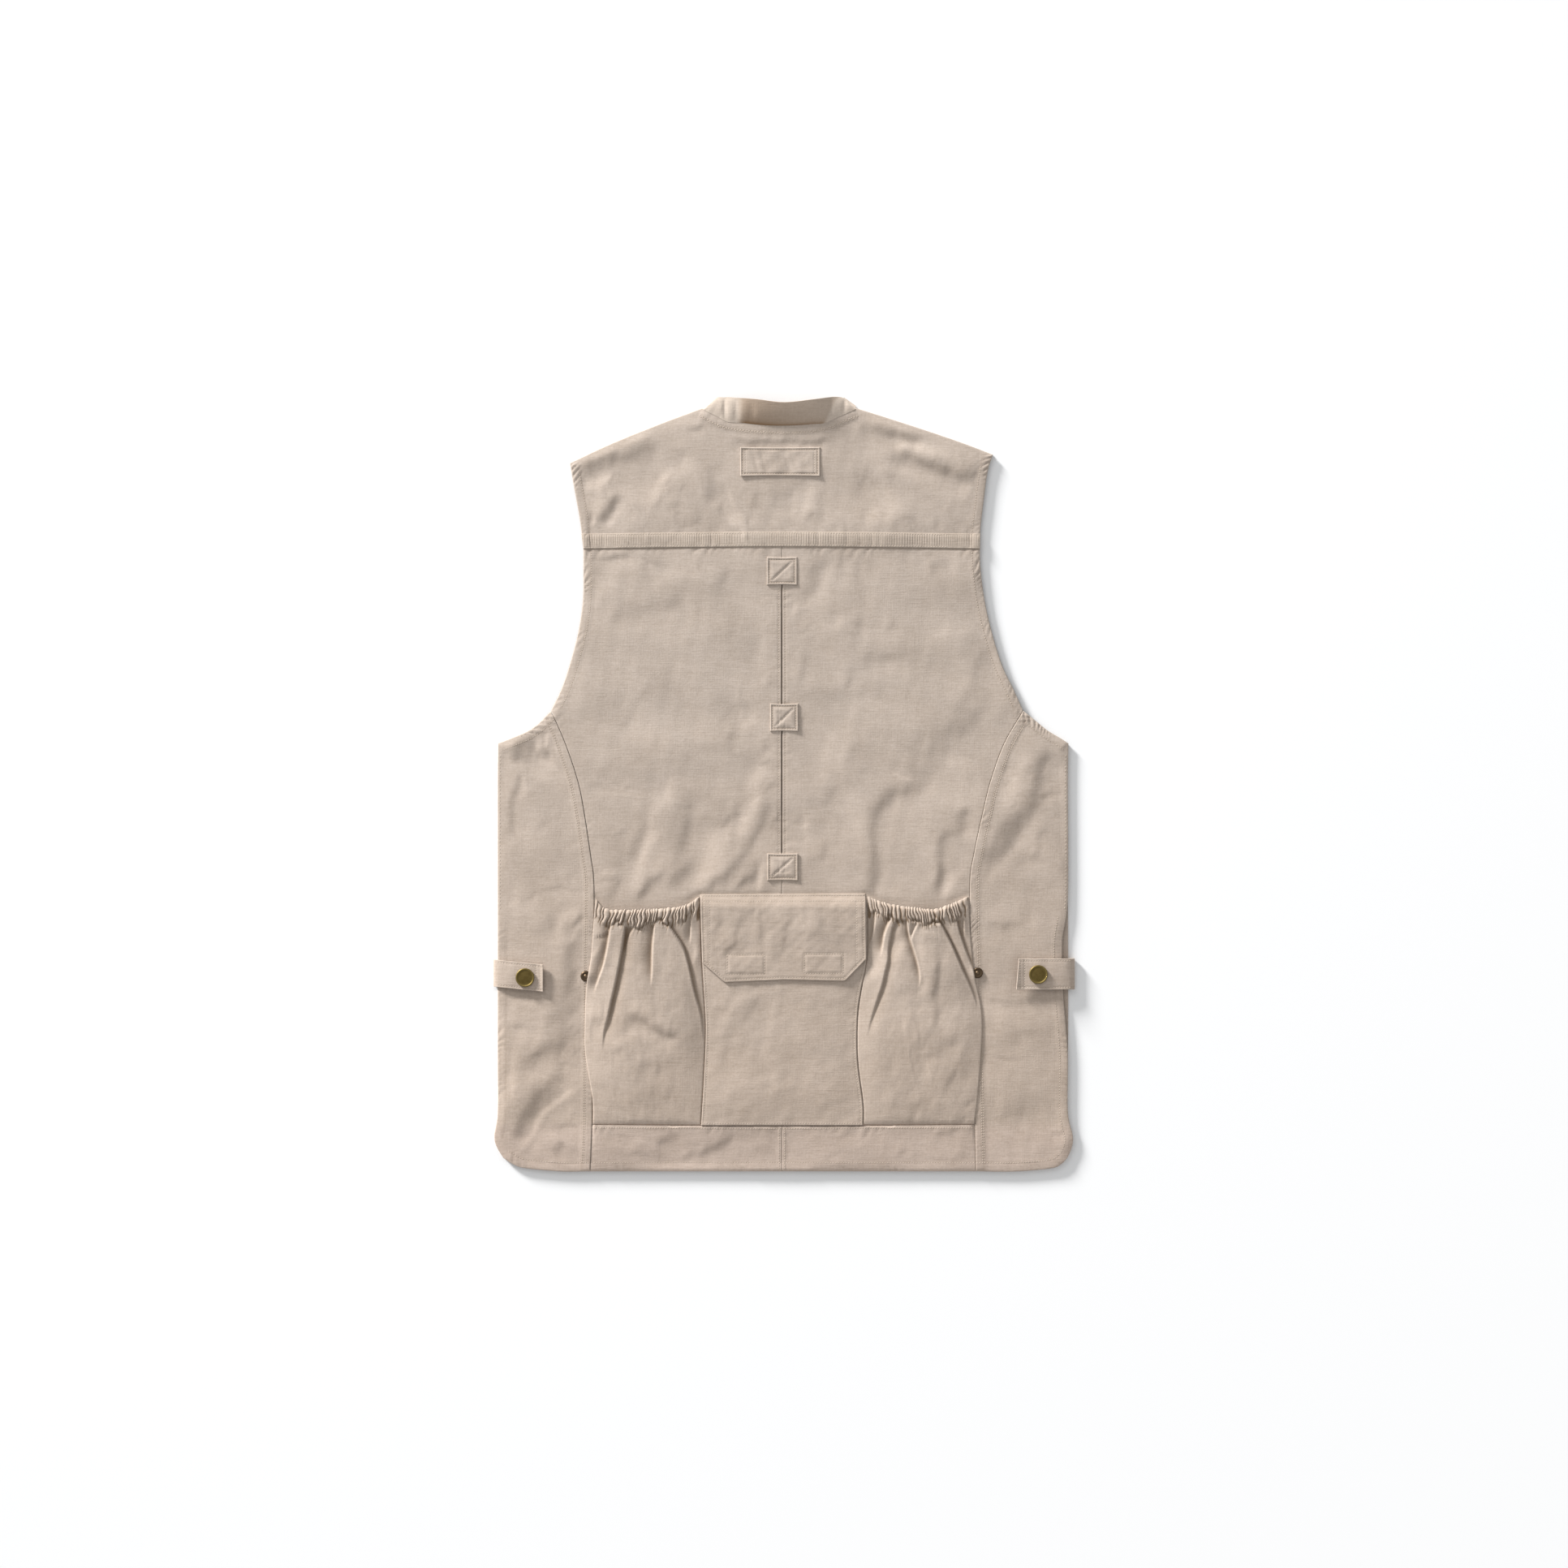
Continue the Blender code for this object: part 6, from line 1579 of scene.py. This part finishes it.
def zigzag(line, near, far, step):
    points = spread(line, round(walked(line)[-1] / step))
    inner, outer = beside(points, near), beside(points, far)
    inner[1::2] = outer[1::2]
    return inner


def boxRows(x0, y0, x1, y1, inset=0.0):
    x0, y0, x1, y1 = x0 + inset, y0 + inset, x1 - inset, y1 - inset
    corners = [(x0, y0), (x1, y0), (x1, y1), (x0, y1), (x0, y0)]
    return [corners[k : k + 2] for k in range(4)]


armRows = {"left": beside(armLeft, 7.8), "right": beside(armRight, -7.8)}
neckRow = lines["neck"]
sew("yoke", [
    between(armRows["left"], 242, 302), between(armRows["right"], 242, 308),
    (beside(neckRow, -7.6), 2.8), (zigzag(neckRow, -7.6, -9.8, 2.4), 2.4),
])
tapeRows = [(beside(lines["yokeSeam"], row - tape["belowSeam"])[1:-1], 2.7) for row in tape["rows"]]
sew("yoke_tape", tapeRows)
for side, sign in (("left", -1), ("right", 1)):
    arm, hem = armRows[side], lines["hem" + side.title()]
    seam = between(lines["long" + side.title()], -370, 62)
    slit, middle = centreX + sign * slitRow, centreX + sign * 2.6
    sew("back_" + side, [
        between(arm, 74, 224), [(slit, 190), (slit, 79)], [(slit, 49.5), (slit, -65)],
    ])
    rows = [between(arm, 30, 68), beside(seam, sign * 6.6), beside(seam, sign * 8.2)]
    if side == "right":
        rows.append(beside(ventRight, -8.0))
    sideEdge = between(lines["side" + side.title()], -122, 30)
    sew("side_" + side, rows + [beside(hem, -sign * 8.6), (beside(sideEdge, -sign * 2.6), 3.6)])
    sew("hem_" + side, [
        [(sign * 183.5, -363.4), (centreX + sign, -363.4)],
        [(middle, -331), (middle, -370)],
        [(sign * 182, -329.6), (centreX + sign, -330.6)],
    ])
x0, y0, x1, y1 = patches["neck_patch"]["corners"]
sew("neck_patch", boxRows(x0, y0, x1, y1, patchMake["seam"]) + [
    [(x0 + 4.7, y0 + 3), (x0 + 4.7, y1 - 3)], [(x1 - 5.3, y0 + 3), (x1 - 5.3, y1 - 3)],
])
for number in (1, 2, 3):
    node = f"slit_patch_{number}"
    x0, y0, x1, y1 = patches[node]["corners"]
    inset = patchMake["seam"] + 1
    diagonal = [(x0 + inset, y0 + inset), (x1 - inset, y1 - inset)]
    sew(node, boxRows(x0, y0, x1, y1, patchMake["seam"]) + [diagonal])
sew("pocket", [
    between(lines["pouchLeftInner"], -325, -118) + (3.1, 0),
    between(lines["pouchRightInner"], -325, -118) - (3.1, 0),
    [(-78, -325.6), (74, -325.6)],
])
hemmed = [
    (-76.6, -110), (-76.2, -170), (-56, -187.6), (0, -185.1), (57.5, -186.4), (76.4, -166.7), (75.9, -110),
]
rows = [hemmed[k : k + 2] for k in range(6)]
rows += [[(-79, -107.2), (77, -106.6)], [(-79, -112.4), (77, -111.8)]]
rows += [[(-71.6, -114), (-71.2, -174)], [(69.8, -114), (70, -172)]]
for corners in flap["boxes"]:
    rows += boxRows(*corners)
sew("pocket_flap", rows)
for side, make in tabs.items():
    sign = -1 if side == "left" else 1
    low, high, fall = make["low"], make["high"], make["slope"]
    end = abs(make["path"][-1][0])
    rows = []
    for level in (low + tabMake["seam"], high - tabMake["seam"]):
        rows.append([(sign * 276, level + fall * 2), (sign * (end + 1.5), level + fall * (278 - end))])
    for x in (end + row for row in tabMake["rows"]):
        down = fall * (278 - x)
        rows.append([(sign * x, low + 2.4 + down), (sign * x, high - 2.4 + down)])
    sew("tab_" + side, rows)
print("stitching sewn")

# floor, light and camera

studio = {
    "floor": 6,  # half its width in metres, as the places and sizes below
    "paper": (0.93, 0.93, 0.93, 1),
    "sky": (0.98, 0.99, 1.0, 1),
    "fill": 0.54,
    "key": 7.0,
    "elevation": 12.5,
    "softness": 10,
    "side": 7.0,  # a large soft light beyond the left shoulder
    "sidePlace": (-1.1, 1.3, 1.5),
    "sideSize": 1.4,
    "camera": (0, 0.0004, 4.19),
    "lens": 100,
}
bm = bmesh.new()
bmesh.ops.create_grid(bm, x_segments=1, y_segments=1, size=studio["floor"])
mesh = meshOf("floor", bm)
paper, tree, shader = newMaterial("matt_white_paper", 0.95)
shader.inputs["Base Color"].default_value = studio["paper"]
shader.inputs["Specular IOR Level"].default_value = 0.1
mesh.materials.append(paper)
linked("floor", mesh)


def aimed(obj, direction):
    obj.rotation_euler = Vector(direction).to_track_quat("-Z", "Y").to_euler()


world = bpy.data.worlds.new("studio")
world.use_nodes = True
sky = world.node_tree.nodes["Background"]
sky.inputs["Color"].default_value = studio["sky"]
sky.inputs["Strength"].default_value = studio["fill"]
bpy.context.scene.world = world
sun = bpy.data.lights.new("key", "SUN")
sun.energy = studio["key"]
sun.angle = math.radians(studio["softness"])
drop = math.tan(math.radians(studio["elevation"])) * math.hypot(*lightRun)
aimed(linked("key", sun), (*lightRun, -drop))

disk = bpy.data.lights.new("softbox", "AREA")
disk.shape = "DISK"
disk.size = studio["sideSize"]
disk.energy = studio["side"]
softbox = linked("softbox", disk)
softbox.location = studio["sidePlace"]
aimed(softbox, [-value for value in studio["sidePlace"]])

lens = bpy.data.cameras.new("camera")
lens.lens = studio["lens"]
lens.sensor_width = 36
lens.clip_end = 20
camera = linked("camera", lens)
camera.location = studio["camera"]
bpy.context.scene.camera = camera
bpy.context.scene.view_settings.view_transform = "Standard"

print("vest dressed")
